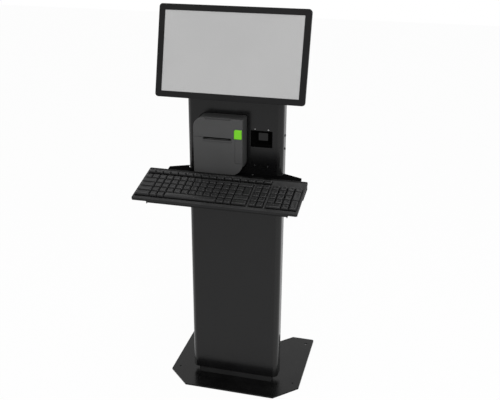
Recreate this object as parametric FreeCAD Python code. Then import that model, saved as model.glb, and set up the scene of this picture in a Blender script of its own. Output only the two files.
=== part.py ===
import FreeCAD
import Part
import math
import os

# Frame: X to the right, Y to the back, Z up, origin in the middle of the foot plate's underside.
# All lengths are in millimetres and all angles in degrees.

# Foot plate
plate_width = 423.0
plate_depth = 357.0
plate_thickness = 5.0
plate_front_cut = 69.0
plate_corner_radius = 6.0
notch_half_width = 138.0
notch_depth = 60.0
anchor_inset = 22.5
front_anchor_setback = 88.0
front_anchor_radius = 3.0
rear_anchor_inset = 31.5
rear_anchor_radius = 5.0

# Column: cover, upright channel, rear panel and cap
column_width = 279.0
column_depth = 42.0
column_setback = 76.0
column_top = 1046.0
cover_sheet = 2.0
cover_bend = 15.0
cover_foot = 25.0
channel_inset = 19.5
channel_sheet = 2.5
channel_bend = 2.5
channel_lip = 25.0
panel_sheet = 1.5
panel_bend = 1.5
panel_flange = 18.0
panel_side_gap = 0.2
panel_foot = 27.0
vent_count = 7
vent_width = 70.0
vent_height = 5.0
vent_pitch = 14.0
vent_drop = 140.0
cable_hole_radius = 14.0
cable_hole_height = 92.0
cap_thickness = 2.0
cap_plug_depth = 7.0

# Foot plate inside the upright, and its bolts
foot_thickness = 6.0
foot_reach = 70.0
foot_half_width = 94.0
foot_bolt_side = 12.0
foot_bolt_inset = 14.0
foot_bolt_spacing = 43.0
bolt_radius = 4.0
bolt_head_flats = 13.0
bolt_head_height = 5.3
hole_clearance = 0.2

# Screws
screw_radius = 2.0
screw_head_radius = 3.6
screw_head_height = 2.2
large_screw_radius = 2.5
large_screw_head_radius = 4.6
large_screw_head_height = 3.0
small_screw_radius = 1.5
small_screw_head_radius = 2.8
small_screw_head_height = 1.9
side_screw_rises = (67.0, 106.0)
side_screw_inset = 11.5

# Service box behind the printer
box_inset = 27.5
box_sink = 18.0
box_rise = 23.0
box_depth = 58.5
box_sheet = 1.5
box_flange = 12.0
box_lip = 10.0
door_gap = 0.4
door_rim = 9.0
hinge_pin_radius = 2.0
hinge_knuckle_radius = 3.6
hinge_offset = 4.4
knuckle_length = 22.0
knuckle_ends = 26.0
running_gap = 0.05
lock_inset = 24.0
lock_radius = 8.0
lock_flange_radius = 10.5
lock_length = 15.0
plug_radius = 5.0
cam_length = 20.0
cam_width = 11.0
cam_thickness = 2.0

# Keyboard tray and its two brackets
tray_slope = 8.84
tray_drop = 5.7
tray_rear_gap = 2.3
tray_half_width = 196.0
tray_length = 201.0
tray_sheet = 2.0
tray_wing = 19.0
tray_side_flange = 8.0
tray_front_flange = 5.0
tray_column_gap = 1.0
tray_notch_radius = 15.0
bracket_x = 55.0
bracket_sheet = 3.0
bracket_flange = 26.0
bracket_drop = 72.3
bracket_reach = 140.0
bracket_nose = 10.0
bracket_screw_rises = (12.0, 48.0)
tray_screw_setbacks = (6.0, 125.0)

# Display
display_tilt = 15.0
display_rise = 12.3
display_stand_out = 34.8
display_side = 17.25
display_brow = 16.75
display_corner_radius = 9.0
display_edge = 1.2
bezel_depth = 10.0
bezel_lip = 1.6
window_width = 382.0
window_height = 215.0
glass_margin = 5.0
glass_thickness = 2.0
glass_gap = 0.3
panel_depth = 5.6
back_inset = 2.3
back_rim_depth = 2.5
hump_side = 58.25
hump_rise = 16.25
hump_drop = 54.25
hump_draft = 12.0
display_depth = 34.0
back_wall = 2.2
vesa_spacing = 75.0
vesa_rise = 71.25
mount_half_width = 60.0
mount_sheet = 3.0
mount_plate_half = 43.0
mount_drop = 101.0
mount_height = 80.0
mount_screw_inset = 16.0
mount_screw_edge = 14.0
board_side = 45.0
board_edge = 49.0
board_stand = 8.0
circuit_sheet = 1.6
panel_step = 1.5
port_width = 62.0

# Printer
printer_inset = 32.5
printer_width = 142.3
printer_foot = 718.0
printer_height = 164.0
printer_stand_out = 48.0
printer_depth = 135.0
printer_top_radius = 30.0
printer_low_radius = 36.0
printer_small_radius = 5.0
printer_wall = 2.5
printer_edge = 2.0
printer_cut_gap = 1.5
seam_rise = 108.5
seam_gap = 0.4
slot_inset = 29.3
slot_width = 80.1
slot_height = 4.1
lid_hinge_radius = 4.5
lid_pin_radius = 1.5
lid_depth = 46.0
ear_width = 6.0
ear_insets = (47.0, 121.0)
scoop_inset = 70.0
scoop_width = 80.0
scoop_depth = 4.4
button_width = 21.8
button_height = 26.6
button_corner = 5.0
button_edge = 1.2
button_margin = 2.3
button_stand_out = 0.8
button_depth = 5.1
button_travel = 3.0
button_gap = 0.4
post_drop = 0.6
stem_inset = 3.8
stem_size = 6.0
stem_rise = 11.5
trim_width = 21.7
trim_rise = 37.6
trim_thickness = 1.4
trim_gap = 0.6
platen_radius = 6.2
platen_shaft_radius = 3.0
platen_setback = 11.0
roll_radius = 25.0
roll_core_radius = 7.0
roll_width = 79.5
roll_setback = 75.5
roll_rise = 70.0
roll_gap = 0.4
latch_pivot_radius = 2.0
latch_pivot_drop = 20.5
tooth_count = 26
cradle_inset = 4.0
cradle_sheet = 2.0
body_gap = 0.3

# Reader
reader_inset = 61.4
reader_rise = 73.0
reader_screw_x = 38.5
reader_screw_z = 108.0
reader_window_width = 62.5
reader_window_height = 48.0
reader_window_rise = 1.9
reader_flange_width = 66.0
reader_flange_height = 122.0
reader_flange_sheet = 2.5
reader_depth = 29.5
scan_width = 30.0
scan_height = 25.0
scan_depth = 22.0

# Keyboard
key_slope = 12.2
keyboard_reach = 221.5
keyboard_shift = -2.6
keyboard_lift = 18.35
keyboard_edge = 8.0
keyboard_corner_radius = 4.0
keyboard_wall = 2.5
pad_height = 3.0
pad_radius = 7.0
pad_inset = 63.0
pad_setbacks = (34.0, 130.0)
base_inset = 14.0
hump_length = 62.0
key_margin = 5.0
block_gap = 6.16
nav_share = 0.95
key_pitch = 20.75
row_pitch = 20.8
key_gap = 1.4
key_draft = 2.3
key_rise = 6.2
key_sink = 1.0
key_bevel = 0.8
key_travel = 3.5
key_stem = 5.0
stem_clearance = 0.3
stem_reach = 6.0
stem_margin = 1.5
guide_thickness = 2.5
first_row = 21.7
function_gap = 25.1
function_depth = 15.5
rear_margin = 18.3
sheet_margin = 28.0
sheet_edge = 13.0
pillar_radius = 3.0
board_drop = 4.5
board_thickness = 1.0

anchor_x = plate_width / 2 - anchor_inset
foot_bolt_x = foot_half_width - foot_bolt_side
front_y = -plate_depth / 2 + column_setback
back_y = front_y + column_depth
channel_width = column_width - 2 * channel_inset
channel_front_y = front_y + cover_sheet
channel_back_y = back_y - panel_sheet
tray_rear_height = printer_foot - tray_drop
bracket_foot = tray_rear_height - bracket_drop
printer_left = -column_width / 2 + printer_inset
printer_right = printer_left + printer_width
printer_top = printer_foot + printer_height
seam_height = printer_foot + seam_rise
slot_left = printer_left + slot_inset
ear_places = [printer_left + inset for inset in ear_insets]
scoop_center = printer_left + scoop_inset
printer_front_y = front_y - printer_stand_out
printer_back_y = printer_front_y + printer_depth
lid_back_y = printer_front_y + lid_depth
hinge_y = lid_back_y - lid_hinge_radius
hinge_z = printer_top - lid_hinge_radius
button_foot = seam_height - seam_gap + body_gap
button_top = button_foot + button_height
button_right = printer_right - button_margin
button_left = button_right - button_width
trim_left = printer_right - trim_width
trim_foot = printer_foot + trim_rise
stem_left = button_left + stem_inset
stem_height = seam_height + stem_rise
latch_pivot_height = seam_height - latch_pivot_drop
button_back_y = printer_front_y - button_stand_out + button_depth
post_front_y = button_back_y + button_travel + body_gap
platen_y = printer_front_y + platen_setback
slot_foot = seam_height - slot_height
head_top = slot_foot + 2.3
platen_z = head_top + body_gap + platen_radius
roll_x = slot_left + slot_width / 2
roll_y = printer_front_y + roll_setback
roll_height = printer_foot + roll_rise
box_half_width = column_width / 2 - box_inset
box_foot = printer_foot - box_sink
box_top = printer_top + box_rise
vent_foot = box_foot - vent_drop
box_back_y = back_y + box_depth
door_y = box_back_y + door_gap
hinge_x = -box_half_width - hinge_offset
side_screw_heights = [printer_foot + rise for rise in side_screw_rises]
bracket_screw_heights = [bracket_foot + rise for rise in bracket_screw_rises]
reader_center_x = column_width / 2 - reader_inset
reader_center_z = printer_foot + reader_rise
reader_window_left = reader_center_x - reader_window_width / 2
reader_window_foot = reader_center_z + reader_window_rise
display_center_height = column_top + display_rise
display_width = window_width + 2 * display_side
display_height = window_height + 2 * display_brow
hump_half_width = display_width / 2 - hump_side
hump_low = -display_height / 2 + hump_rise
hump_high = display_height / 2 - hump_drop
vesa_center = -display_height / 2 + vesa_rise
mount_foot = column_top - mount_drop
mount_top = mount_foot + mount_height
mount_screw_x = mount_half_width - mount_screw_inset
mount_screw_heights = (mount_foot + mount_screw_edge, mount_top - mount_screw_edge)
nav_pitch = nav_share * key_pitch
keyboard_width = 2 * key_margin + 19 * key_pitch + 2 * nav_pitch + 2 * block_gap
keys_left = -keyboard_width / 2 + key_margin
nav_left = keys_left + 15 * key_pitch + block_gap
pad_left = nav_left + 2 * nav_pitch + block_gap
function_row = first_row + 4 * row_pitch + function_gap
keyboard_depth = function_row + function_depth / 2 + rear_margin
hump_start = keyboard_depth - hump_length


def vec(x, y, z):
    return FreeCAD.Vector(x, y, z)


def block(x0, x1, y0, y1, z0, z1):
    return Part.makeBox(x1 - x0, y1 - y0, z1 - z0, vec(x0, y0, z0))


def rod(radius, start, axis, length):
    return Part.makeCylinder(radius, length, vec(*start), vec(*axis))


def on_plan(z):
    return lambda x, y: vec(x, y, z)


def on_front(y):
    return lambda x, z: vec(x, y, z)


def on_side(x):
    return lambda y, z: vec(x, y, z)


def unit(dx, dy):
    size = math.hypot(dx, dy)
    return dx / size, dy / size


def corner_arc(before, corner, after):
    """Tangent points and middle of the arc that rounds a corner by its radius."""
    u, v, radius = corner
    ax, ay = unit(before[0] - u, before[1] - v)
    bx, by = unit(after[0] - u, after[1] - v)
    half = math.acos(max(-1.0, min(1.0, ax * bx + ay * by))) / 2
    reach = radius / math.tan(half)
    mx, my = unit(ax + bx, ay + by)
    depth = radius / math.sin(half) - radius
    start = (u + ax * reach, v + ay * reach)
    middle = (u + mx * depth, v + my * depth)
    end = (u + bx * reach, v + by * reach)
    return start, middle, end


def outline(corners, place):
    """Closed wire through (u, v, radius) corners, rounded where the radius isn't zero."""
    count = len(corners)
    pieces = []
    for i, corner in enumerate(corners):
        if corner[2] > 0:
            pieces.append(corner_arc(corners[i - 1], corner, corners[(i + 1) % count]))
        else:
            pieces.append((corner[:2], None, corner[:2]))
    edges = []
    for i, (start, middle, end) in enumerate(pieces):
        if middle:
            edges.append(Part.Arc(place(*start), place(*middle), place(*end)).toShape())
        following = pieces[(i + 1) % count][0]
        if math.dist(end, following) > 1e-6:
            edges.append(Part.LineSegment(place(*end), place(*following)).toShape())
    return Part.Wire(edges)


def prism(corners, place, direction):
    return Part.Face(outline(corners, place)).extrude(vec(*direction))


def rectangle(x0, x1, z0, z1, radius=0.0):
    return [(x0, z0, radius), (x1, z0, radius), (x1, z1, radius), (x0, z1, radius)]


def folded(path, sheet, bend):
    """Corners of a sheet of one thickness folded along a path, thickness to the left of the path."""
    outer = [(path[0][0], path[0][1], 0.0)]
    inner = []
    for i in range(1, len(path)):
        dx, dy = unit(path[i][0] - path[i - 1][0], path[i][1] - path[i - 1][1])
        normal = (-dy * sheet, dx * sheet)
        if i == 1:
            inner.append((path[0][0] + normal[0], path[0][1] + normal[1], 0.0))
        if i == len(path) - 1:
            outer.append((path[i][0], path[i][1], 0.0))
            inner.append((path[i][0] + normal[0], path[i][1] + normal[1], 0.0))
            break
        ex, ey = unit(path[i + 1][0] - path[i][0], path[i + 1][1] - path[i][1])
        turn = dx * ey - dy * ex
        share = 1.0 + dx * ex + dy * ey
        shift = ((-dy - ey) * sheet / share, (dx + ex) * sheet / share)
        outer.append((path[i][0], path[i][1], bend + (sheet if turn > 0 else 0.0)))
        inner.append((path[i][0] + shift[0], path[i][1] + shift[1], bend + (0.0 if turn > 0 else sheet)))
    return outer + inner[::-1]


def placed(shape, origin, angle):
    """A shape made in a tilted frame, set at its origin and turned about X."""
    moved = shape.copy()
    moved.Placement = FreeCAD.Placement(vec(*origin), FreeCAD.Rotation(vec(1, 0, 0), angle))
    return moved


def fused(shapes):
    return shapes[0].multiFuse(shapes[1:]).removeSplitter()


def drilled(shape, tools):
    return shape.cut(Part.makeCompound(tools))


def screw(radius, head_radius, head_height, seat, axis, length):
    """A pan-head screw: its head stands out of the seat against the axis, its shank goes along it."""
    out = [-a for a in axis]
    head = rod(head_radius, seat, out, head_height)
    edges = [e for e in head.Edges if e.BoundBox.DiagonalLength > head_radius and len(e.Vertexes) == 1]
    far = vec(*seat) + vec(*out) * head_height
    rim = [e for e in edges if (e.CenterOfMass - far).Length < 0.01]
    head = head.makeFillet(head_height * 0.45, rim)
    return head.fuse(rod(radius, seat, axis, length))


def hex_bolt(x, y, z, length):
    corners = []
    for k in range(6):
        angle = math.radians(60 * k)
        across = bolt_head_flats / math.sqrt(3)
        corners.append((x + across * math.cos(angle), y + across * math.sin(angle), 0.0))
    head = prism(corners, on_plan(z), (0, 0, bolt_head_height))
    return head.fuse(rod(bolt_radius, (x, y, z), (0, 0, -1), length))


# Foot

def foot_bolt_points():
    rear = channel_front_y + channel_sheet + foot_bolt_inset
    return [(sx * foot_bolt_x, y) for sx in (-1, 1) for y in (rear, rear + foot_bolt_spacing)]


def base_plate():
    half = plate_width / 2
    front = -plate_depth / 2
    rear = plate_depth / 2
    cut = plate_front_cut
    r = plate_corner_radius
    floor_half = notch_half_width - notch_depth
    corners = [
        (-half + cut, front, 0.0), (half - cut, front, 0.0), (half, front + cut, 0.0),
        (half, rear, r), (notch_half_width, rear, r / 2),
        (floor_half, rear - notch_depth, r), (-floor_half, rear - notch_depth, r),
        (-notch_half_width, rear, r / 2), (-half, rear, r), (-half, front + cut, 0.0)]
    plate = prism(corners, on_plan(0), (0, 0, plate_thickness))
    holes = []
    for side in (-1, 1):
        for setback, radius in ((front_anchor_setback, front_anchor_radius),
                                (plate_depth - rear_anchor_inset, rear_anchor_radius)):
            holes.append(rod(radius, (side * anchor_x, front + setback, -1), (0, 0, 1), plate_thickness + 2))
    for x, y in foot_bolt_points():
        holes.append(rod(bolt_radius + hole_clearance, (x, y, -1), (0, 0, 1), plate_thickness + 2))
    return drilled(plate, holes)


def foot_plate():
    wide = channel_width / 2 - channel_sheet
    front = channel_front_y + channel_sheet
    waist = channel_back_y - channel_sheet - body_gap
    rear = front + foot_reach
    half = foot_half_width
    corners = [
        (-wide, front, 3.0), (wide, front, 3.0), (wide, waist, 3.0), (half, waist, 0.0),
        (half, rear, 8.0), (-half, rear, 8.0), (-half, waist, 0.0), (-wide, waist, 3.0)]
    plate = prism(corners, on_plan(plate_thickness), (0, 0, foot_thickness))
    radius = bolt_radius + hole_clearance
    holes = [rod(radius, (x, y, 0), (0, 0, 1), 20) for x, y in foot_bolt_points()]
    return drilled(plate, holes)


def foot_bolts():
    seat = plate_thickness + foot_thickness
    return Part.makeCompound([hex_bolt(x, y, seat, seat - 0.5) for x, y in foot_bolt_points()])


# Column

def printer_outline(inset, y):
    """Front outline of the printer: two far corners large, the other two small."""
    small = max(printer_small_radius - inset, 0.6)
    corners = [
        (printer_left + inset, printer_foot + inset, small),
        (printer_right - inset, printer_foot + inset, printer_low_radius - inset),
        (printer_right - inset, printer_top - inset, small),
        (printer_left + inset, printer_top - inset, printer_top_radius - inset)]
    return outline(corners, on_front(y))


def printer_prism(inset, y0, y1):
    return Part.Face(printer_outline(inset, y0)).extrude(vec(0, y1 - y0, 0))


def printer_body():
    body = printer_prism(0, printer_front_y, printer_back_y)
    rim = [e for e in body.Edges if e.BoundBox.YMax < printer_front_y + 0.01]
    return body.makeFillet(printer_edge, rim)


def printer_passage(gap):
    return printer_prism(-gap, front_y - 10, back_y + 10)


def reader_screw_points():
    return [(reader_center_x + sx * reader_screw_x / 2, reader_center_z + sz * reader_screw_z / 2)
            for sx in (-1, 1) for sz in (-1, 1)]


def column_screw_points():
    """Large screws through the column's front: display mount above, tray brackets below."""
    points = [(sx * mount_screw_x, z) for sx in (-1, 1) for z in mount_screw_heights]
    points += [(sx * bracket_x, z) for sx in (-1, 1) for z in bracket_screw_heights]
    return points


def box_screw_points():
    x = box_half_width + box_flange / 2
    return [(sx * x, z) for sx in (-1, 1) for z in (box_foot + 25, box_top - 25)]


def column_holes():
    radius = large_screw_radius + hole_clearance
    return [rod(radius, (x, front_y - 1, z), (0, 1, 0), cover_sheet + channel_sheet + 2)
            for x, z in column_screw_points()]


def column_cover():
    half = column_width / 2
    path = [(-half, back_y), (-half, front_y), (half, front_y), (half, back_y)]
    height = column_top - cover_foot
    shell = prism(folded(path, cover_sheet, cover_bend), on_plan(cover_foot), (0, 0, height))
    window = rectangle(reader_window_left, reader_window_left + reader_window_width,
                       reader_window_foot, reader_window_foot + reader_window_height, 1.5)
    tools = [printer_passage(printer_cut_gap), prism(window, on_front(front_y - 1), (0, 4, 0))]
    for x, z in reader_screw_points():
        tools.append(rod(small_screw_radius + hole_clearance, (x, front_y - 1, z), (0, 1, 0), 4))
    for z in side_screw_heights:
        start = (-half - 1, back_y - side_screw_inset, z)
        tools.append(rod(screw_radius + hole_clearance, start, (1, 0, 0), column_width + 2))
    return drilled(shell, tools + column_holes())


def reader_passage():
    x0 = reader_center_x - reader_flange_width / 2 - body_gap
    x1 = reader_center_x + reader_flange_width / 2 + body_gap
    z0 = reader_center_z - reader_flange_height / 2 - 1
    z1 = reader_center_z + reader_flange_height / 2 + 1
    return block(x0, x1, channel_front_y - 1, channel_front_y + channel_sheet + 1, z0, z1)


def upright_channel():
    half = channel_width / 2
    path = [(-half + channel_lip, channel_back_y), (-half, channel_back_y), (-half, channel_front_y),
            (half, channel_front_y), (half, channel_back_y), (half - channel_lip, channel_back_y)]
    height = column_top - plate_thickness
    shell = prism(folded(path, channel_sheet, channel_bend), on_plan(plate_thickness), (0, 0, height))
    tools = [printer_passage(printer_cut_gap + 1), reader_passage()]
    for x, z in box_screw_points():
        start = (x, channel_back_y - channel_sheet - 1, z)
        tools.append(rod(screw_radius + hole_clearance, start, (0, 1, 0), channel_sheet + 2))
    return drilled(shell, tools + column_holes())


def rear_panel():
    half = column_width / 2 - cover_sheet - panel_side_gap
    path = [(half, back_y - panel_flange), (half, back_y), (-half, back_y), (-half, back_y - panel_flange)]
    height = column_top - panel_foot
    shell = prism(folded(path, panel_sheet, panel_bend), on_plan(panel_foot), (0, 0, height))
    tools = [printer_passage(printer_cut_gap + 2)]
    for k in range(vent_count):
        z = vent_foot + k * vent_pitch
        slot = rectangle(-vent_width / 2, vent_width / 2, z, z + vent_height, vent_height / 2 - 0.01)
        tools.append(prism(slot, on_front(back_y - 3), (0, 5, 0)))
    tools.append(rod(cable_hole_radius, (0, back_y - 4, cable_hole_height), (0, 1, 0), 8))
    for z in side_screw_heights:
        start = (-half - 1, back_y - side_screw_inset, z)
        tools.append(rod(screw_radius + hole_clearance, start, (1, 0, 0), 2 * half + 2))
    for x, z in box_screw_points():
        tools.append(rod(screw_radius + hole_clearance, (x, back_y - 4, z), (0, 1, 0), 8))
    return drilled(shell, tools)


def column_cap():
    half = column_width / 2
    corners = [(-half, front_y, cover_bend + cover_sheet), (half, front_y, cover_bend + cover_sheet),
               (half, back_y, 1.0), (-half, back_y, 1.0)]
    lid = prism(corners, on_plan(column_top), (0, 0, cap_thickness))
    x = channel_width / 2 - channel_sheet - body_gap
    y0 = channel_front_y + channel_sheet + body_gap
    y1 = channel_back_y - channel_sheet - body_gap
    low = column_top - cap_plug_depth
    plug = prism(rectangle(-x, x, y0, y1, 3.5), on_plan(low), (0, 0, cap_plug_depth))
    hollow = block(-x + 2, x - 2, y0 + 2, y1 - 2, low - 1, column_top)
    return fused([lid, plug.cut(hollow)])


def cable_grommet():
    """A rubber ring with a groove that holds the edge of the rear panel's cable hole."""
    r = cable_hole_radius
    sheet = panel_sheet
    profile = [
        (r - 4, -2.0, 0.0), (r + 2.5, -2.0, 1.0), (r + 2.5, -0.05, 0.0), (r - 0.1, -0.05, 0.0),
        (r - 0.1, sheet + 0.05, 0.0), (r + 2.5, sheet + 0.05, 0.0), (r + 2.5, sheet + 2, 1.0),
        (r - 4, sheet + 2, 0.0)]
    ring = Part.Face(outline(profile, lambda u, v: vec(u, channel_back_y + v, cable_hole_height)))
    return ring.revolve(vec(0, 0, cable_hole_height), vec(0, 1, 0), 360)


def panel_screws():
    """Button-head screws at the column's sides, in the box's flanges and in the tray."""
    items = []
    for side in (-1, 1):
        for z in side_screw_heights:
            seat = (side * column_width / 2, back_y - side_screw_inset, z)
            items.append(screw(screw_radius, screw_head_radius, screw_head_height, seat, (-side, 0, 0), 6))
    for x, z in box_screw_points():
        seat = (x, back_y + box_sheet, z)
        items.append(screw(screw_radius, screw_head_radius, screw_head_height, seat, (0, -1, 0), 6.5))
    tilted = []
    for side in (-1, 1):
        for setback in tray_screw_setbacks:
            seat = (side * bracket_x, -setback, 0)
            tilted.append(screw(screw_radius, screw_head_radius, screw_head_height, seat, (0, 0, -1), 7))
    items += [placed(s, tray_origin(), tray_slope) for s in tilted]
    return Part.makeCompound(items)


def bracket_screws():
    """Large screws that fasten the display mount and the tray brackets to the column."""
    items = []
    for x, z in column_screw_points():
        seat = (x, front_y - bracket_sheet, z)
        items.append(screw(large_screw_radius, large_screw_head_radius, large_screw_head_height,
                           seat, (0, 1, 0), 9))
    return Part.makeCompound(items)


# Service box

def service_box():
    """Five-sided sheet box: open to the column in front, closed by the door at the back."""
    half = box_half_width
    outer = block(-half, half, back_y, box_back_y, box_foot, box_top)
    t = box_sheet
    inner = block(-half + t, half - t, back_y - 1, box_back_y + 1, box_foot + t, box_top - t)
    shell = outer.cut(inner)
    flanges = []
    for side in (-1, 1):
        x0, x1 = sorted((side * (half - t), side * (half + box_flange)))
        flanges.append(block(x0, x1, back_y, back_y + t, box_foot, box_top))
    strike_y = door_y + t - lock_length
    strike = block(half - t - box_lip, half - t, strike_y + 0.2, strike_y + 0.2 + t, box_foot + 60, box_top - 60)
    body = fused([shell] + flanges + [strike])
    radius = screw_radius + hole_clearance
    holes = [rod(radius, (x, back_y - 1, z), (0, 1, 0), 5) for x, z in box_screw_points()]
    return drilled(body, holes).fuse(knuckles(knuckle_places()[0], "box"))


def knuckle_places():
    """Heights of the hinge knuckles: the outer pair on the box, the inner pair on the door."""
    outer = (box_foot + knuckle_ends, box_top - knuckle_ends - knuckle_length)
    shift = knuckle_length + body_gap
    inner = (outer[0] + shift, outer[1] - shift)
    return outer, inner


def knuckles(heights, owner):
    items = []
    for z in heights:
        barrel = rod(hinge_knuckle_radius, (hinge_x, box_back_y, z), (0, 0, 1), knuckle_length)
        if owner == "box":
            leaf = block(hinge_x, -box_half_width + box_sheet, box_back_y - 5, box_back_y - 3.4,
                         z, z + knuckle_length)
        else:
            leaf = block(hinge_x, -box_half_width + 12, door_y, door_y + box_sheet, z, z + knuckle_length)
        items.append(barrel.fuse(leaf))
    bore = rod(hinge_pin_radius + running_gap, (hinge_x, box_back_y, box_foot), (0, 0, 1), box_top - box_foot)
    return Part.makeCompound(items).cut(bore)


def lock_point():
    return box_half_width - lock_inset, (box_foot + box_top) / 2


def service_door():
    """Door sheet with its rim folded forwards round the box on three sides."""
    half = box_half_width
    t = box_sheet
    reach = half + body_gap
    sheet = block(-half + 1, reach + t, door_y, door_y + t, box_foot - body_gap - t, box_top + body_gap + t)
    front = door_y - door_rim
    rims = [
        block(reach, reach + t, front, door_y, box_foot - body_gap - t, box_top + body_gap + t),
        block(-half + 8, reach + t, front, door_y, box_foot - body_gap - t, box_foot - body_gap),
        block(-half + 8, reach + t, front, door_y, box_top + body_gap, box_top + body_gap + t)]
    body = fused([sheet] + rims)
    x, z = lock_point()
    hole = rod(lock_radius + 0.05, (x, door_y - 1, z), (0, 1, 0), t + 2)
    body = body.cut(hole)
    return fused([body, knuckles(knuckle_places()[1], "door")])


def door_hinge_pin():
    low, high = knuckle_places()[0]
    start = (hinge_x, box_back_y, low - 2)
    pin = rod(hinge_pin_radius, start, (0, 0, 1), high + knuckle_length - low + 4)
    head = rod(hinge_pin_radius + 1, (hinge_x, box_back_y, high + knuckle_length), (0, 0, 1), 2)
    return pin.fuse(head)


def lock_body():
    x, z = lock_point()
    back = door_y + box_sheet
    flange = rod(lock_flange_radius, (x, back, z), (0, 1, 0), 2)
    barrel = rod(lock_radius, (x, back - lock_length, z), (0, 1, 0), lock_length)
    bore = rod(plug_radius + running_gap, (x, back - lock_length - 1, z), (0, 1, 0), lock_length + 5)
    return flange.fuse(barrel).cut(bore)


def lock_cylinder():
    """Key plug with its slot, and the cam on its inner end, which hangs down when unlocked."""
    x, z = lock_point()
    back = door_y + box_sheet
    front = back - lock_length
    plug = rod(plug_radius, (x, front - body_gap, z), (0, 1, 0), lock_length + 2.3)
    key_slot = block(x - 0.6, x + 0.6, back - 4, back + 3, z - 3.2, z + 3.2)
    half = cam_width / 2
    corners = [(x - half, z + half, half - 0.01), (x - half, z - cam_length, half - 0.01),
               (x + half, z - cam_length, half - 0.01), (x + half, z + half, half - 0.01)]
    cam = prism(corners, on_front(front - body_gap - cam_thickness), (0, cam_thickness, 0))
    return fused([plug.cut(key_slot), cam])


# Keyboard tray

def tray_origin():
    return 0, front_y - tray_rear_gap, tray_rear_height


def keyboard_tray():
    """Sloping sheet with flanges at its front and sides and two wings beside the column."""
    half = tray_half_width
    side = column_width / 2 + tray_column_gap
    notch = (tray_rear_gap - tray_column_gap) / math.cos(math.radians(tray_slope))
    t = tray_sheet
    corners = [
        (-half, -tray_length, 0.0), (half, -tray_length, 0.0), (half, 0, 0.0),
        (side, tray_wing, 0.0), (side, notch, tray_notch_radius), (-side, notch, tray_notch_radius),
        (-side, tray_wing, 0.0),
        (-half, 0, 0.0)]
    sheet = prism(corners, on_plan(-t), (0, 0, t))
    flanges = [block(-half, half, -tray_length, -tray_length + t, -tray_front_flange, 0)]
    for x0 in (-half, half - t):
        flanges.append(block(x0, x0 + t, -tray_length, 0, -tray_side_flange, 0))
    tray = fused([sheet] + flanges)
    holes = [rod(screw_radius + hole_clearance, (sx * bracket_x, -d, 1), (0, 0, -1), 5)
             for sx in (-1, 1) for d in tray_screw_setbacks]
    return placed(drilled(tray, holes), tray_origin(), tray_slope)


def tray_underside(y, drop):
    """Height of a plane that lies a drop below the tray's top, at a place along Y."""
    slope = math.radians(tray_slope)
    return tray_rear_height + (y - tray_origin()[1]) * math.tan(slope) - drop / math.cos(slope)


def tray_brackets():
    """Two arms of welded plate under the tray, each with a flange on the column and one on top."""
    items = []
    t = bracket_sheet
    wall_y = front_y - t
    nose_y = wall_y - bracket_reach
    drop = tray_sheet + t
    for side in (-1, 1):
        x = side * bracket_x
        web = [
            (wall_y, bracket_foot, 0.0), (wall_y, tray_underside(wall_y, drop), 0.0),
            (nose_y, tray_underside(nose_y, drop), 0.0),
            (nose_y, tray_underside(nose_y, drop) - bracket_nose, 4.0),
            (wall_y - 12, bracket_foot, 12.0)]
        plate = prism(web, on_side(x - t / 2), (t, 0, 0))
        x0, x1 = x - bracket_flange / 2, x + bracket_flange / 2
        back = block(x0, x1, wall_y, front_y, bracket_foot, tray_underside(front_y, tray_sheet) - t)
        length = (bracket_reach + 1) / math.cos(math.radians(tray_slope))
        top = block(x0, x1, -length, 0, -drop, -tray_sheet)
        top = placed(top, tray_origin(), tray_slope)
        arm = fused([plate, back, top])
        holes = [rod(large_screw_radius + hole_clearance, (x, wall_y - 6, z), (0, 1, 0), 12)
                 for z in bracket_screw_heights]
        sides = [rod(screw_radius + hole_clearance, (x, -d, 0), (0, 0, -1), 9) for d in tray_screw_setbacks]
        holes += [placed(h, tray_origin(), tray_slope) for h in sides]
        heads = [rod(large_screw_head_radius + 0.4, (x, wall_y - 8, z), (0, 1, 0), 8)
                 for z in bracket_screw_heights]
        items.append(drilled(arm, holes + heads))
    return Part.makeCompound(items)


# Display, made with its front plane on Y = 0 and its middle at the origin

def display_origin():
    return 0, front_y - display_stand_out, display_center_height


def tilted_display(shape):
    return placed(shape, display_origin(), -display_tilt)


def centered(width, height, radius):
    return rectangle(-width / 2, width / 2, -height / 2, height / 2, radius)


def display_bezel():
    body = prism(centered(display_width, display_height, display_corner_radius), on_front(0),
                 (0, bezel_depth, 0))
    front = [e for e in body.Edges if e.BoundBox.YMax < 0.01]
    body = body.makeFillet(display_edge, front)
    window = prism(centered(window_width, window_height, 1.0), on_front(-1), (0, bezel_depth, 0))
    pocket_w = window_width + 2 * glass_margin
    pocket_h = window_height + 2 * glass_margin
    pocket = prism(centered(pocket_w, pocket_h, 2.0), on_front(bezel_lip), (0, bezel_depth, 0))
    return tilted_display(drilled(body, [window, pocket]))


def touch_glass():
    width = window_width + 2 * glass_margin - 2 * glass_gap
    height = window_height + 2 * glass_margin - 2 * glass_gap
    sheet = prism(centered(width, height, 1.7), on_front(bezel_lip), (0, glass_thickness, 0))
    return tilted_display(sheet)


def lcd_panel():
    """The picture panel behind the glass, with the step of its metal rear frame."""
    width = window_width + 2 * glass_margin - 2 * glass_gap
    height = window_height + 2 * glass_margin - 2 * glass_gap
    front = bezel_lip + glass_thickness
    body = prism(centered(width, height, 1.7), on_front(front), (0, panel_depth, 0))
    step = block(-width / 2 + 9, width / 2 - 9, front + panel_depth, bezel_depth + panel_step,
                 -height / 2 + 9, height / 2 - 9)
    return tilted_display(fused([body, step]))


def hump_loft(wall, front, rear):
    """The rear housing's tapered hump, drawn in by a wall on every side."""
    wires = []
    for y, inset in ((front, 0.0), (rear, hump_draft)):
        x = hump_half_width - inset - wall
        corners = rectangle(-x, x, hump_low + inset * 0.5 + wall, hump_high - inset - wall, 10.0 - wall)
        wires.append(outline(corners, on_front(y)))
    return Part.makeLoft(wires, True, True)


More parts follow.
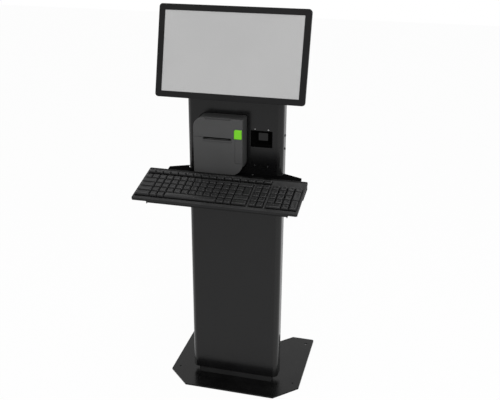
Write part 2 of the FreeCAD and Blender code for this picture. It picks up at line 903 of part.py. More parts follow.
def vesa_points():
    half = vesa_spacing / 2
    return [(sx * half, vesa_center + sz * half) for sx in (-1, 1) for sz in (-1, 1)]


def display_back():
    rim_w = display_width - 2 * back_inset
    rim_h = display_height - 2 * back_inset
    rim = prism(centered(rim_w, rim_h, display_corner_radius - back_inset), on_front(bezel_depth),
                (0, back_rim_depth, 0))
    hump = hump_loft(0.0, bezel_depth + back_rim_depth - 0.2, display_depth)
    body = rim.fuse(hump)
    well = block(-display_width / 2 + 18, display_width / 2 - 18, bezel_depth - 1, bezel_depth + 1.7,
                 -display_height / 2 + 18, display_height / 2 - 18)
    hollow = hump_loft(back_wall, bezel_depth - 0.3, display_depth - back_wall)
    body = body.cut(well).cut(hollow)
    bosses = [rod(5.0, (x, display_depth - 11, z), (0, 1, 0), 11) for x, z in vesa_points()]
    tools = [rod(screw_radius, (x, display_depth - 9, z), (0, 1, 0), 10) for x, z in vesa_points()]
    for k in range(9):
        x = (k - 4) * hump_half_width * 0.16
        half = hump_half_width * 0.053
        slot = rectangle(x - half, x + half, hump_high - 44, hump_high - 41, 1.49)
        tools.append(prism(slot, on_front(display_depth - 6), (0, 8, 0)))
    x = hump_half_width * 0.4
    port = block(x, x + port_width, display_depth - 14, display_depth - 4, hump_low - 4, hump_low + 12)
    tools.append(port)
    return tilted_display(drilled(fused([body] + bosses), tools))


def display_board():
    """Controller board on four stand-offs behind the picture panel, with its heat sink."""
    step = bezel_depth + panel_step
    y = step + board_stand
    top = y + circuit_sheet
    half = hump_half_width - board_side
    z0, z1 = hump_low + board_edge, hump_high - board_edge
    tall = z1 - z0
    board = block(-half, half, y, top, z0, z1)
    legs = [rod(screw_radius + 0.5, (sx * half * 0.93, step, z), (0, 1, 0), board_stand)
            for sx in (-1, 1) for z in (z0 + 0.08 * tall, z1 - 0.08 * tall)]
    sink_x0, sink_x1 = -0.29 * half, 0.19 * half
    sink_z0, sink_z1 = z0 + 0.3 * tall, z1 - 0.18 * tall
    pitch = (sink_x1 - sink_x0) / 6.25
    sink_base = block(sink_x0, sink_x1, top, top + circuit_sheet, sink_z0, sink_z1)
    fins = [block(sink_x0 + k * pitch, sink_x0 + (k + 0.25) * pitch, top + circuit_sheet,
                  top + 5 * circuit_sheet, sink_z0, sink_z1) for k in range(7)]
    ports = [block(x * half, (x + 0.14) * half, top, top + 4 * circuit_sheet, z0, z0 + 0.2 * tall)
             for x in (0.38, 0.57, 0.76)]
    return tilted_display(fused([board, sink_base] + legs + fins + ports))


def mount_side_point(depth, height):
    """A point of the tilted display's side view, in the upright frame."""
    angle = math.radians(display_tilt)
    origin = display_origin()
    y = origin[1] + depth * math.cos(angle) + height * math.sin(angle)
    z = origin[2] - depth * math.sin(angle) + height * math.cos(angle)
    return y, z


def display_mount():
    """Wedge bracket: an upright plate on the column, two cheeks, and a tilted plate on the display."""
    half = mount_half_width
    t = mount_sheet
    low = vesa_center - mount_plate_half
    high = vesa_center + mount_plate_half
    tilted = prism(rectangle(-half, half, low, high, 6.0), on_front(display_depth), (0, t, 0))
    tools = [rod(screw_radius + hole_clearance, (x, display_depth - 1, z), (0, 1, 0), t + 2)
             for x, z in vesa_points()]
    window = rectangle(-22, 22, vesa_center - 16, vesa_center + 16, 5.0)
    tools.append(prism(window, on_front(display_depth - 1), (0, t + 2, 0)))
    tilted = tilted_display(drilled(tilted, tools))
    upright = block(-half, half, front_y - t, front_y, mount_foot, mount_top)
    holes = [rod(large_screw_radius + hole_clearance, (sx * mount_screw_x, front_y - 5, z), (0, 1, 0), 8)
             for sx in (-1, 1) for z in mount_screw_heights]
    upright = drilled(upright, holes)
    top = mount_side_point(display_depth + t - 0.5, high - 6)
    foot = mount_side_point(display_depth + t - 0.5, low + 6)
    profile = [(top[0], top[1], 0.0), (front_y - t + 0.5, mount_top - 2, 0.0),
               (front_y - t + 0.5, mount_foot, 0.0), (foot[0], foot[1], 0.0)]
    cheeks = [prism(profile, on_side(x), (t, 0, 0)) for x in (-half, half - t)]
    return fused([tilted, upright] + cheeks)


def vesa_screws():
    items = [screw(screw_radius - running_gap, screw_head_radius, screw_head_height,
                   (x, display_depth + mount_sheet, z), (0, -1, 0), 10) for x, z in vesa_points()]
    return tilted_display(Part.makeCompound(items))


# Printer

def lid_space(gap):
    """The room in front of the column and above the seam, which the lid fills."""
    x0 = printer_left - 5
    x1 = printer_right + 5
    return block(x0, x1, printer_front_y - 5, lid_back_y + gap, seam_height - gap, printer_top + 5)


def button_space(gap):
    """The room of the release button's column, cut out of the lid's lower right corner."""
    corners = [(button_left - gap, seam_height - 5, 0.0), (printer_right + 5, seam_height - 5, 0.0),
               (printer_right + 5, button_top + gap, 0.0), (button_left - gap, button_top + gap, button_corner + gap)]
    return prism(corners, on_front(printer_front_y - 5), (0, lid_back_y - printer_front_y + 10, 0))


def hinge_ears():
    items = []
    for x in ear_places:
        ring = rod(lid_hinge_radius - body_gap, (x, hinge_y, hinge_z), (1, 0, 0), ear_width)
        web = block(x, x + ear_width, hinge_y, lid_back_y + 2, hinge_z - 4, printer_top - body_gap)
        items.append(ring.fuse(web))
    bore = rod(lid_pin_radius + running_gap, (ear_places[0] - 1, hinge_y, hinge_z), (1, 0, 0), 100)
    return Part.makeCompound(items).cut(bore)


def roll_bucket():
    """Half-round trough with cheeks that the paper roll lies in, on two ribs."""
    inner = roll_radius + roll_gap
    outer = inner + 2
    x0 = roll_x - roll_width / 2 - 0.8
    x1 = roll_x + roll_width / 2 + 0.8
    t = printer_wall
    drum = rod(outer, (x0 - t, roll_y, roll_height), (1, 0, 0), x1 - x0 + 2 * t)
    hollow = rod(inner, (x0, roll_y, roll_height), (1, 0, 0), x1 - x0)
    above = block(x0 - 5, x1 + 5, roll_y - 40, roll_y + 40, roll_height, roll_height + 40)
    trough = drum.cut(hollow).cut(above)
    ribs = [block(x, x + t, roll_y - 14, roll_y + 14, printer_foot + 1, roll_height - inner - 0.5)
            for x in (x0 + 8, x1 - 8 - t)]
    return trough, ribs


def printer_case():
    """Moulded body of the printer, open where the lid sits, with the bucket for the roll."""
    w = printer_wall
    shell = printer_body().cut(printer_prism(w, printer_front_y + w, printer_back_y - w))
    shell = shell.cut(lid_space(seam_gap))
    corners = [(button_left, seam_height - 3, 0.0), (printer_right, seam_height - 3, 0.0),
               (printer_right, button_top - post_drop, 0.0), (button_left, button_top - post_drop, button_corner)]
    column = prism(corners, on_front(post_front_y), (0, lid_back_y + 3 - post_front_y, 0))
    column_room = block(button_left + w, printer_right - w, post_front_y + w, lid_back_y + 4,
                        seam_height - 30, button_top - post_drop - w)
    cheek = block(button_right + button_gap, printer_right, printer_front_y, post_front_y + w,
                  seam_height - 3, button_top - post_drop).common(printer_body())
    trough, ribs = roll_bucket()
    x0, x1 = slot_left - 1.5, slot_left + slot_width + 1.5
    inside = printer_front_y + w
    shelf_y = platen_y + 8
    for x in (x0 + 10, x1 - 13):
        ribs.append(block(x, x + 3, inside - 0.5, shelf_y, head_top - 30, head_top - 5))
    latch_rib = block(10.0, 13.0, inside - 0.5, latch_y() + 5, latch_pivot_height - 8, latch_pivot_height + 8)
    body = fused([shell, column.cut(column_room), cheek, trough, latch_rib, hinge_ears()] + ribs)
    side_cut = block(trim_left, printer_right + 1, printer_front_y - 1, printer_front_y + trim_thickness,
                     trim_foot, seam_height)
    bar_cut = block(x0, x1, printer_front_y - 1, printer_front_y + 1.2, slot_foot - 7.4, slot_foot)
    slot = block(slot_left, slot_left + slot_width, printer_front_y - 1, inside + 1, slot_foot, seam_height)
    pivot = rod(latch_pivot_radius + running_gap, (9, latch_y(), latch_pivot_height), (1, 0, 0), 6)
    tools = [side_cut, bar_cut, slot, pivot] + stem_holes()
    tools.append(block(-60, -20, printer_back_y - w - 1, printer_back_y + 1, printer_foot + 14,
                       printer_foot + 34))
    return drilled(body, tools)


def latch_y():
    return platen_y + platen_shaft_radius + body_gap + 1.5


def stem_places():
    return stem_left, printer_right - 10


def stem_holes():
    holes = []
    for x in stem_places():
        holes.append(block(x - body_gap, x + stem_size + body_gap, post_front_y - 1,
                           post_front_y + printer_wall + 1, stem_height - body_gap,
                           stem_height + stem_size + body_gap))
    return holes


def printer_lid():
    """Upper front shell: finger scoop in its top edge, ribs for the platen, barrel at its hinge."""
    w = printer_wall
    outer = printer_body().common(lid_space(-seam_gap))
    cavity = printer_prism(w, printer_front_y + w, lid_back_y + 1)
    cavity = cavity.cut(button_space(button_gap + 2))
    shell = outer.cut(button_space(button_gap)).cut(cavity)
    corner = block(printer_left, printer_right, hinge_y, lid_back_y + 1, hinge_z, printer_top + 1)
    shell = shell.cut(corner)
    x0 = printer_left + printer_top_radius + 1
    x1 = printer_right - printer_small_radius
    barrel = rod(lid_hinge_radius, (x0, hinge_y, hinge_z), (1, 0, 0), x1 - x0)
    scoop_x0 = scoop_center - scoop_width / 2
    pad = block(scoop_x0 - 4, scoop_x0 + scoop_width + 4, printer_front_y + 1, printer_front_y + 10,
                printer_top - scoop_depth - 3.6, printer_top - 1)
    ribs = [block(x, x + 2, printer_front_y + w - 0.5, platen_y + 7, platen_z - 4.4, printer_top - 1)
            for x in rib_places()]
    body = fused([shell, barrel, pad] + ribs)
    scoop = [(scoop_x0, printer_top + 1, 0.0), (scoop_x0 + 6, printer_top - scoop_depth, 3.0),
             (scoop_x0 + scoop_width - 4, printer_top - scoop_depth, 2.0),
             (scoop_x0 + scoop_width, printer_top + 1, 0.0)]
    tools = [prism(scoop, on_front(printer_front_y - 1), (0, 7.5, 0))]
    length = printer_width
    tools.append(rod(lid_pin_radius + running_gap, (printer_left, hinge_y, hinge_z), (1, 0, 0), length))
    tools.append(rod(platen_shaft_radius + running_gap, (rib_places()[0] - 1, platen_y, platen_z),
                     (1, 0, 0), rib_places()[1] - rib_places()[0] + 4))
    for x in ear_places:
        tools.append(block(x - 0.5, x + ear_width + 0.5, hinge_y - 6, lid_back_y + 1, hinge_z - 6,
                           printer_top + 1))
    return drilled(body, tools)


def rib_places():
    return slot_left - 5.0, slot_left + slot_width + 2.0


def lid_hinge_pin():
    x0 = printer_left + printer_top_radius + 1.5
    x1 = printer_right - printer_small_radius - 0.5
    return rod(lid_pin_radius, (x0, hinge_y, hinge_z), (1, 0, 0), x1 - x0)


def platen_roller():
    left, right = rib_places()
    sleeve = rod(platen_radius, (left + 2.6, platen_y, platen_z), (1, 0, 0), right - left - 3.2)
    shaft = rod(platen_shaft_radius, (left - 2.2, platen_y, platen_z), (1, 0, 0), right - left + 6.0)
    return sleeve.fuse(shaft)


def print_head():
    """Heat-sink bar under the platen, bevelled towards the slot."""
    x0, x1 = slot_left - 0.8, slot_left + slot_width + 0.8
    y0 = printer_front_y + printer_wall + body_gap
    y1 = platen_y + 8
    low = head_top - 5
    profile = [(y0, low, 0.0), (y1, low, 0.0), (y1, head_top - 1.2, 0.0), (y1 - 5, head_top, 0.0),
               (y0 + 4, head_top, 0.0), (y0, head_top - 1.8, 0.0)]
    return prism(profile, on_side(x0), (x1 - x0, 0, 0))


def tear_bar():
    """Thin steel strip below the slot with a row of small teeth along its top edge."""
    x0, x1 = slot_left - 1.2, slot_left + slot_width + 1.2
    top = slot_foot - 1.5
    corners = [(x1, slot_foot - 7.0, 0.0), (x0, slot_foot - 7.0, 0.0)]
    corners = corners[::-1]
    pitch = (x1 - x0) / tooth_count
    teeth = []
    for k in range(tooth_count, 0, -1):
        teeth.append((x0 + k * pitch, top, 0.0))
        teeth.append((x0 + (k - 0.5) * pitch, top + 1.4, 0.0))
    teeth.append((x0, top, 0.0))
    return prism(corners + teeth, on_front(printer_front_y - 0.8), (0, 2.0, 0))


def paper_roll():
    x0 = roll_x - roll_width / 2
    paper = rod(roll_radius, (x0, roll_y, roll_height), (1, 0, 0), roll_width)
    core = rod(roll_core_radius, (x0 - 1, roll_y, roll_height), (1, 0, 0), roll_width + 2)
    return paper.cut(core)


def release_button():
    """Square cap with soft front edges, guided by two stems in the case."""
    front = printer_front_y - button_stand_out
    corners = [(button_left, button_foot, 1.5), (button_right, button_foot, 1.5),
               (button_right, button_top, 2.0), (button_left, button_top, button_corner)]
    cap = prism(corners, on_front(front), (0, button_depth, 0))
    edges = [e for e in cap.Edges if e.BoundBox.YMax < front + 0.01]
    cap = cap.makeFillet(button_edge, edges)
    long_x, short_x = stem_places()
    long_stem = block(long_x, long_x + stem_size, button_back_y, latch_y() - 1.5 - body_gap,
                      stem_height, stem_height + stem_size)
    short_stem = block(short_x, short_x + stem_size, button_back_y, post_front_y + 1.5,
                       stem_height, stem_height + stem_size)
    return fused([cap, long_stem, short_stem])


def lid_latch():
    """Rocking latch: one arm behind the button's stem, a hook over the platen's shaft end."""
    y = latch_y()
    z = latch_pivot_height
    hook_x = rib_places()[1] + 2.3
    bar = rod(latch_pivot_radius, (hook_x, y, z), (1, 0, 0), stem_left + 4 - hook_x)
    top = platen_z + platen_shaft_radius + body_gap
    hook = [(y + 1.5, z - 2, 0.0), (y + 1.5, top + 4, 0.0), (platen_y + 0.6, top + 4, 0.0),
            (platen_y + 0.6, top, 0.0), (y - 1.5, top, 0.0), (y - 1.5, z - 2, 0.0)]
    arm = [(y + 1.5, z - 2, 0.0), (y + 1.5, stem_height + 7, 0.0), (y - 1.5, stem_height + 7, 0.0),
           (y - 1.5, z - 2, 0.0)]
    return fused([bar, prism(hook, on_side(hook_x), (1.6, 0, 0)), prism(arm, on_side(stem_left + 1), (3, 0, 0))])


def printer_trim():
    """Narrow panel under the release button, flush with the case."""
    y0 = printer_front_y
    room = block(trim_left + trim_gap, printer_right + 1, y0 - 1, y0 + trim_thickness,
                 trim_foot + trim_gap, seam_height - seam_gap - trim_gap)
    return printer_body().common(room)


def printer_bracket():
    """Bent-up cradle under the printer on the service box's floor."""
    x0 = printer_left + cradle_inset
    x1 = printer_right - printer_low_radius
    t = cradle_sheet
    low = box_foot + box_sheet
    path = [(x1 + 3 * cradle_inset, low + t), (x1, low + t), (x1, printer_foot), (x0, printer_foot), (x0, low + t),
            (x0 - cradle_inset, low + t)]
    profile = folded(path, t, 1.5)
    return prism(profile, on_front(back_y + cradle_inset), (0, box_depth * 0.65, 0))


# Reader

def reader_housing():
    """Moulded body behind the column's window: flange, deep stepped funnel, lower box."""
    w, h = reader_flange_width, reader_flange_height
    cx, cz = reader_center_x, reader_center_z
    y0 = channel_front_y
    flange = prism(rectangle(cx - w / 2, cx + w / 2, cz - h / 2, cz + h / 2, 3.0), on_front(y0),
                   (0, reader_flange_sheet, 0))
    x0, x1 = reader_window_left, reader_window_left + reader_window_width
    z0, z1 = reader_window_foot, reader_window_foot + reader_window_height
    body = block(x0 - 1, x1 + 1, y0 + 1, y0 + reader_depth, z0 - 1.5, z1 + 1.5)
    low_box = block(x0 + 4, x1 - 4, y0 + 1, y0 + 20, cz - h / 2 + 14, z0)
    mx, mz = (x0 + x1) / 2, (z0 + z1) / 2
    mouth = block(x0 + 1.2, x1 - 1.2, y0 - 1, y0 + 7, z0 + 1.2, z1 - 1.2)
    wires = []
    for y, a, b in ((y0 + 7, x1 - x0 - 10, z1 - z0 - 10), (y0 + scan_depth, scan_width - 3, scan_height - 3)):
        wires.append(outline(rectangle(mx - a / 2, mx + a / 2, mz - b / 2, mz + b / 2, 2.0), on_front(y)))
    funnel = Part.makeLoft(wires, True, True)
    pocket = block(mx - scan_width / 2, mx + scan_width / 2, y0 + scan_depth - 0.01, y0 + scan_depth + 1.5,
                   mz - scan_height / 2, mz + scan_height / 2)
    tools = [mouth, funnel, pocket]
    for x, z in reader_screw_points():
        tools.append(rod(small_screw_radius + running_gap, (x, y0 - 1, z), (0, 1, 0), 9))
    bosses = [rod(3.6, (x, y0 + 1, z), (0, 1, 0), 7) for x, z in reader_screw_points()]
    return drilled(fused([flange, body, low_box] + bosses), tools)


def reader_window():
    mx = reader_window_left + reader_window_width / 2
    mz = reader_window_foot + reader_window_height / 2
    y = channel_front_y + scan_depth
    gap = 0.15
    return block(mx - scan_width / 2 + gap, mx + scan_width / 2 - gap, y, y + 1.5,
                 mz - scan_height / 2 + gap, mz + scan_height / 2 - gap)


def reader_screws():
    items = [screw(small_screw_radius, small_screw_head_radius, small_screw_head_height,
                   (x, front_y, z), (0, 1, 0), 8) for x, z in reader_screw_points()]
    return Part.makeCompound(items)


# Keyboard, made with X across, Y up the slope from the front edge and Z = 0 on the rim's top

def keyboard_origin():
    y = front_y - keyboard_reach
    return keyboard_shift, y, tray_underside(y, 0) + keyboard_lift


def on_slope(shape):
    return placed(shape, keyboard_origin(), key_slope)


def tray_level(s, rise):
    """Height in the keyboard's frame of a plane that lies a rise above the tray, at a place s."""
    slope, tray = math.radians(key_slope), math.radians(tray_slope)
    ky, kz = keyboard_origin()[1:]
    ty, tz = tray_origin()[1:]
    across = -(ky - ty) * math.sin(tray) + (kz - tz) * math.cos(tray)
    lean = math.sin(slope - tray)
    return (rise - across - s * lean) / math.cos(slope - tray)


def row_places():
    """Middle of each key row, from the space bar's row back to the number row."""
    return [first_row + k * row_pitch for k in range(5)]


def key_table():
    """Every key as (group, left, right, front, rear) between the middles of its gaps."""
    rows = row_places()
    half = row_pitch / 2
    keys = []

    def add(group, left, columns, row, tall=1):
        x0, x1 = left + columns[0] * key_pitch, left + columns[1] * key_pitch
        keys.append((group, x0, x1, rows[row] - half, rows[row + tall - 1] + half))

    for c in range(13):
        add("number_keys", keys_left, (c, c + 1), 4)
    add("backspace_key", keys_left, (13, 15), 4)
    for row, group, last in ((3, "upper_row_keys", 14), (2, "home_row_keys", 14), (1, "lower_row_keys", 13)):
        add(group, keys_left, (0, 2), row)
        for c in range(2, last):
            add(group, keys_left, (c, c + 1), row)
    add("enter_key", keys_left, (14, 15), 2, tall=2)
    add("lower_row_keys", keys_left, (13, 15), 1)
    for columns in ((0, 2), (2, 3), (3, 4), (11, 12), (12, 13), (13, 15)):
        add("modifier_keys", keys_left, columns, 0)
    add("space_bar", keys_left, (4, 11), 0)
    for row in range(5):
        for c in range(2):
            add("navigation_keys", nav_left, (c * nav_share, (c + 1) * nav_share), row)
    for row in range(1, 5):
        for c in range(3):
            add("numpad_keys", pad_left, (c, c + 1), row)
    add("numpad_keys", pad_left, (3, 4), 4)
    add("numpad_plus_key", pad_left, (3, 4), 2, tall=2)
    add("numpad_enter_key", pad_left, (3, 4), 0, tall=2)
    add("numpad_zero_key", pad_left, (0, 2), 0)
    add("numpad_keys", pad_left, (2, 3), 0)
    right = nav_left + 2 * nav_pitch
    step = (right - keys_left) / 16
    for k in range(16):
        group = "escape_key" if k == 0 else "function_keys"
        x0 = keys_left + k * step
        keys.append((group, x0, x0 + step, function_row - function_depth / 2 - key_gap / 2,
                     function_row + function_depth / 2 + key_gap / 2))
    return keys


def stem_place(x0, x1):
    """A key's middle, drawn in where the bottom case's side wall would be in the stem's way."""
    limit = keyboard_width / 2 - base_inset - keyboard_wall - key_stem / 2 - stem_margin
    return min((x0 + x1) / 2, limit)


def key_cap(x0, x1, y0, y1):
    """One key: a tapered cap with a bevelled top, and its stem below."""
    g = key_gap / 2
    wires = []
    for z, inset in ((-key_sink, 0.0), (key_rise - key_bevel, key_draft - key_bevel), (key_rise, key_draft)):
        a = g + inset
        wires.append(outline(rectangle(x0 + a, x1 - a, y0 + a, y1 - a), on_plan(z)))
    cap = Part.makeLoft(wires, True, True)
    cx, cy = stem_place(x0, x1), (y0 + y1) / 2
    half = key_stem / 2
    stem = block(cx - half, cx + half, cy - half, cy + half, -key_sink - stem_reach, -key_sink + 0.5)
    return cap.fuse(stem)


def key_group(name):
    items = [key_cap(x0, x1, y0, y1) for group, x0, x1, y0, y1 in key_table() if group == name]
    return on_slope(Part.makeCompound(items) if len(items) > 1 else items[0])


def key_blocks():
    """The openings of the top case: function row, main block, navigation block, number block."""
    edge = 0.5
    rows = row_places()
    y0, y1 = rows[0] - row_pitch / 2 - edge, rows[4] + row_pitch / 2 + edge
    main_right = keys_left + 15 * key_pitch
    nav_right = nav_left + 2 * nav_pitch
    f0 = function_row - function_depth / 2 - key_gap / 2 - edge
    f1 = function_row + function_depth / 2 + key_gap / 2 + edge
    return [(keys_left - edge, main_right + edge, y0, y1),
            (nav_left - edge, nav_right + edge, y0, y1),
            (pad_left - edge, pad_left + 4 * key_pitch + edge, y0, y1),
            (keys_left - edge, nav_right + edge, f0, f1)]


def keyboard_top():
    """Thin frame round the keys: soft top edges, hollow underneath."""
    half = keyboard_width / 2
    r = keyboard_corner_radius
    body = prism([(-half, 0, r), (half, 0, r), (half, keyboard_depth, r), (-half, keyboard_depth, r)],
                 on_plan(-keyboard_edge), (0, 0, keyboard_edge))
    top_edges = [e for e in body.Edges if e.BoundBox.ZMin > -0.01]
    body = body.makeFillet(1.5, top_edges)
    w = keyboard_wall
    hollow = block(-half + w, half - w, w + 6, keyboard_depth - w, -keyboard_edge - 1, -w)
    windows = [block(x0, x1, y0, y1, -keyboard_edge - 1, 1) for x0, x1, y0, y1 in key_blocks()]
    return on_slope(drilled(body, [hollow] + windows))


def keyboard_base():
    """Bottom case: narrow and thin in front, full width in the rear hump, hollow inside."""
    w = keyboard_wall
    top = -keyboard_edge
    s0, s1 = 11.0, keyboard_depth - 1.0

    def wedge(x, a, b, wall, lift):
        profile = [(a, tray_level(a, pad_height + lift), 0.0), (b, tray_level(b, pad_height + lift), 0.0),
                   (b, top + wall, 0.0), (a, top + wall, 0.0)]
        return prism(profile, on_side(-x), (2 * x, 0, 0))

    narrow = keyboard_width / 2 - base_inset
    wide = keyboard_width / 2 - 1.5
    body = fused([wedge(narrow, s0, s1, 0, 0), wedge(wide, hump_start, s1, 0, 0)])
    hollow = fused([wedge(narrow - w, s0 + w, s1 - w, 1, w), wedge(wide - w, hump_start + w, s1 - w, 1, w)])
    body = body.cut(hollow)
    board_z = guide_low() - board_drop
    pillars = []
    for k in range(4):
        x = (k - 1.5) * keyboard_width * 0.22
        for s in (keyboard_depth * 0.25, keyboard_depth * 0.77):
            low = tray_level(s, pad_height) + 1
            pillars.append(rod(pillar_radius, (x, s, low), (0, 0, 1), board_z - board_thickness - low))
    return on_slope(fused([body] + pillars))


def guide_low():
    return -keyboard_edge


def key_plate():
    """Guide plate on the bottom case's edge, with one square hole for each key's stem."""
    half = keyboard_width / 2 - keyboard_wall - body_gap
    plate = block(-half, half, 9.5, keyboard_depth - keyboard_wall - body_gap, guide_low(),
                  guide_low() + guide_thickness)
    size = key_stem / 2 + stem_clearance
    holes = []
    for group, x0, x1, y0, y1 in key_table():
        cx, cy = stem_place(x0, x1), (y0 + y1) / 2
        holes.append(block(cx - size, cx + size, cy - size, cy + size, guide_low() - 1, 0))
    return on_slope(drilled(plate, holes))


def contact_sheet():
    top = guide_low() - board_drop
    half = keyboard_width / 2 - sheet_margin
    s0, s1 = sheet_edge + keyboard_edge, keyboard_depth - sheet_edge
    return on_slope(block(-half, half, s0, s1, top - board_thickness, top))


def keyboard_pads():
    """Four rubber feet between the bottom case and the tray."""
    items = []
    front = -(keyboard_reach - tray_rear_gap) / math.cos(math.radians(tray_slope))
    x = keyboard_width / 2 - pad_inset
    for side in (-1, 1):
        for setback in pad_setbacks:
            items.append(rod(pad_radius, (keyboard_shift + side * x, front + setback, 0), (0, 0, 1), pad_height))
    return placed(Part.makeCompound(items), tray_origin(), tray_slope)


def kiosk_parts():
    makers = [
        base_plate, foot_plate, foot_bolts, column_cover, upright_channel, rear_panel, column_cap,
        cable_grommet, panel_screws, bracket_screws, service_box, service_door, door_hinge_pin,
        lock_body, lock_cylinder, keyboard_tray, tray_brackets, display_bezel, touch_glass, lcd_panel,
        display_back, display_board, display_mount, vesa_screws, printer_case, printer_lid,
        lid_hinge_pin, platen_roller, print_head, tear_bar, paper_roll, release_button, lid_latch,
        printer_trim, printer_bracket, reader_housing, reader_window, reader_screws, keyboard_top,
        keyboard_base, key_plate, contact_sheet, keyboard_pads]
    parts = {maker.__name__: maker() for maker in makers}
    for name in sorted({key[0] for key in key_table()}):
        parts[name] = key_group(name)
    return parts


os.makedirs("parts", exist_ok=True)
for node, shape in kiosk_parts().items():
    shape.exportStep("parts/" + node + ".step")
    print(node, len(shape.Solids), "valid" if shape.isValid() else "NOT VALID")
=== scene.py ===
import math

import bpy
import numpy as np
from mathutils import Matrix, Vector


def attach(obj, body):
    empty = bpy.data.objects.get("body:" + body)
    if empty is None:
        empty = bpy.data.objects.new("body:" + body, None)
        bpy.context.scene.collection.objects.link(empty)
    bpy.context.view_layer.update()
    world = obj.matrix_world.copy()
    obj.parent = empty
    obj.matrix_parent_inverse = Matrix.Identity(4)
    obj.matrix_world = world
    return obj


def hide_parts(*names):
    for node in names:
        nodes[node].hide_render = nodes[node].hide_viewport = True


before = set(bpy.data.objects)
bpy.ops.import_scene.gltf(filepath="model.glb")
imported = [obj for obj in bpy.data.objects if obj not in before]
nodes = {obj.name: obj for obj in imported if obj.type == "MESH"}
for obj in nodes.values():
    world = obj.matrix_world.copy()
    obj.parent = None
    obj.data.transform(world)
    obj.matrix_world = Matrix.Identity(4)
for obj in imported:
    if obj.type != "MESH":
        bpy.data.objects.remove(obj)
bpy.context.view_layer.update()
print("kiosk solids loaded:", len(nodes))

mm = 0.001


# small helpers for node trees

def addNode(tree, kind, **settings):
    node = tree.nodes.new("ShaderNode" + kind)
    for key, value in settings.items():
        setattr(node, key, value)
    return node


def feed(tree, socket, value):
    # a socket gets either a link from another socket or a plain value
    if isinstance(value, bpy.types.NodeSocket):
        tree.links.new(value, socket)
    else:
        socket.default_value = value


def sums(tree, operation, first, second=0.0, clamp=False):
    node = addNode(tree, "Math", operation=operation, use_clamp=clamp)
    feed(tree, node.inputs[0], first)
    feed(tree, node.inputs[1], second)
    return node.outputs[0]


def ramp(tree, value, low, high, bottom=0.0, top=1.0):
    # smooth step from bottom to top while the value goes from low to high
    node = addNode(tree, "MapRange", interpolation_type="SMOOTHSTEP")
    for socket, given in zip(node.inputs, (value, low, high, bottom, top)):
        feed(tree, socket, given)
    return node.outputs[0]


def blendColour(tree, factor, first, second):
    node = addNode(tree, "Mix", data_type="RGBA")
    feed(tree, node.inputs[0], factor)
    feed(tree, node.inputs[6], first)
    feed(tree, node.inputs[7], second)
    return node.outputs[2]


def mixShaders(tree, factor, first, second):
    node = addNode(tree, "MixShader")
    for socket, given in zip(node.inputs, (factor, first.outputs[0], second.outputs[0])):
        feed(tree, socket, given)
    return node.outputs[0]


def ownPlace(tree):
    # the point's place in the object's own coordinates, which are the kiosk's, in metres
    return addNode(tree, "TexCoord").outputs["Object"]


def partsOf(tree, vector):
    node = addNode(tree, "SeparateXYZ")
    feed(tree, node.inputs[0], vector)
    return node.outputs


def facing(tree):
    # which way the surface looks, as X, Y and Z
    return partsOf(tree, addNode(tree, "NewGeometry").outputs["Normal"])


def noise(tree, scale, detail=2.0, vector=None, roughness=0.5):
    # its values lie mostly between 0.3 and 0.7, so the ramps after it pick their part of that stretch
    node = addNode(tree, "TexNoise")
    feed(tree, node.inputs["Vector"], ownPlace(tree) if vector is None else vector)
    feed(tree, node.inputs["Scale"], scale)
    node.inputs["Detail"].default_value = detail
    node.inputs["Roughness"].default_value = roughness
    return node.outputs[0]


def mapped(tree, **settings):
    # own coordinates moved, turned or scaled
    node = addNode(tree, "Mapping")
    feed(tree, node.inputs["Vector"], ownPlace(tree))
    for label, value in settings.items():
        feed(tree, node.inputs[label], value)
    return node.outputs[0]


def newGroup(name, inputs, outputs):
    group = bpy.data.node_groups.new(name, "ShaderNodeTree")
    for label, value in inputs:
        kind = "NodeSocketVector" if isinstance(value, tuple) else "NodeSocketFloat"
        group.interface.new_socket(name=label, in_out="INPUT", socket_type=kind).default_value = value
    for label, kind in outputs:
        group.interface.new_socket(name=label, in_out="OUTPUT", socket_type="NodeSocket" + kind)
    return group, group.nodes.new("NodeGroupInput"), group.nodes.new("NodeGroupOutput")


def place(tree, group, **values):
    node = tree.nodes.new("ShaderNodeGroup")
    node.node_tree = group
    for label, value in values.items():
        feed(tree, node.inputs[label], value)
    return node


# shared effects: each is a group with named inputs, and puts out only masks, heights, tones and normals

def makeGrain():
    # fine grain over a slow orange-peel wave, as powder coat and moulded plastic have
    group, start, end = newGroup("surfaceGrain", [("Size", 0.0008), ("Wave", 0.006), ("Share", 0.5)],
                                 [("Height", "Float"), ("Tone", "Float")])
    fine = noise(group, sums(group, "DIVIDE", 1.0, start.outputs["Size"]), 3.0)
    slow = noise(group, sums(group, "DIVIDE", 1.0, start.outputs["Wave"]), 1.0)
    mixed = addNode(group, "Mix", data_type="FLOAT")
    feed(group, mixed.inputs[0], start.outputs["Share"])
    feed(group, mixed.inputs[2], fine)
    feed(group, mixed.inputs[3], slow)
    feed(group, end.inputs["Height"], mixed.outputs[0])
    feed(group, end.inputs["Tone"], ramp(group, noise(group, 14.0, 3.0), 0.35, 0.65))
    return group


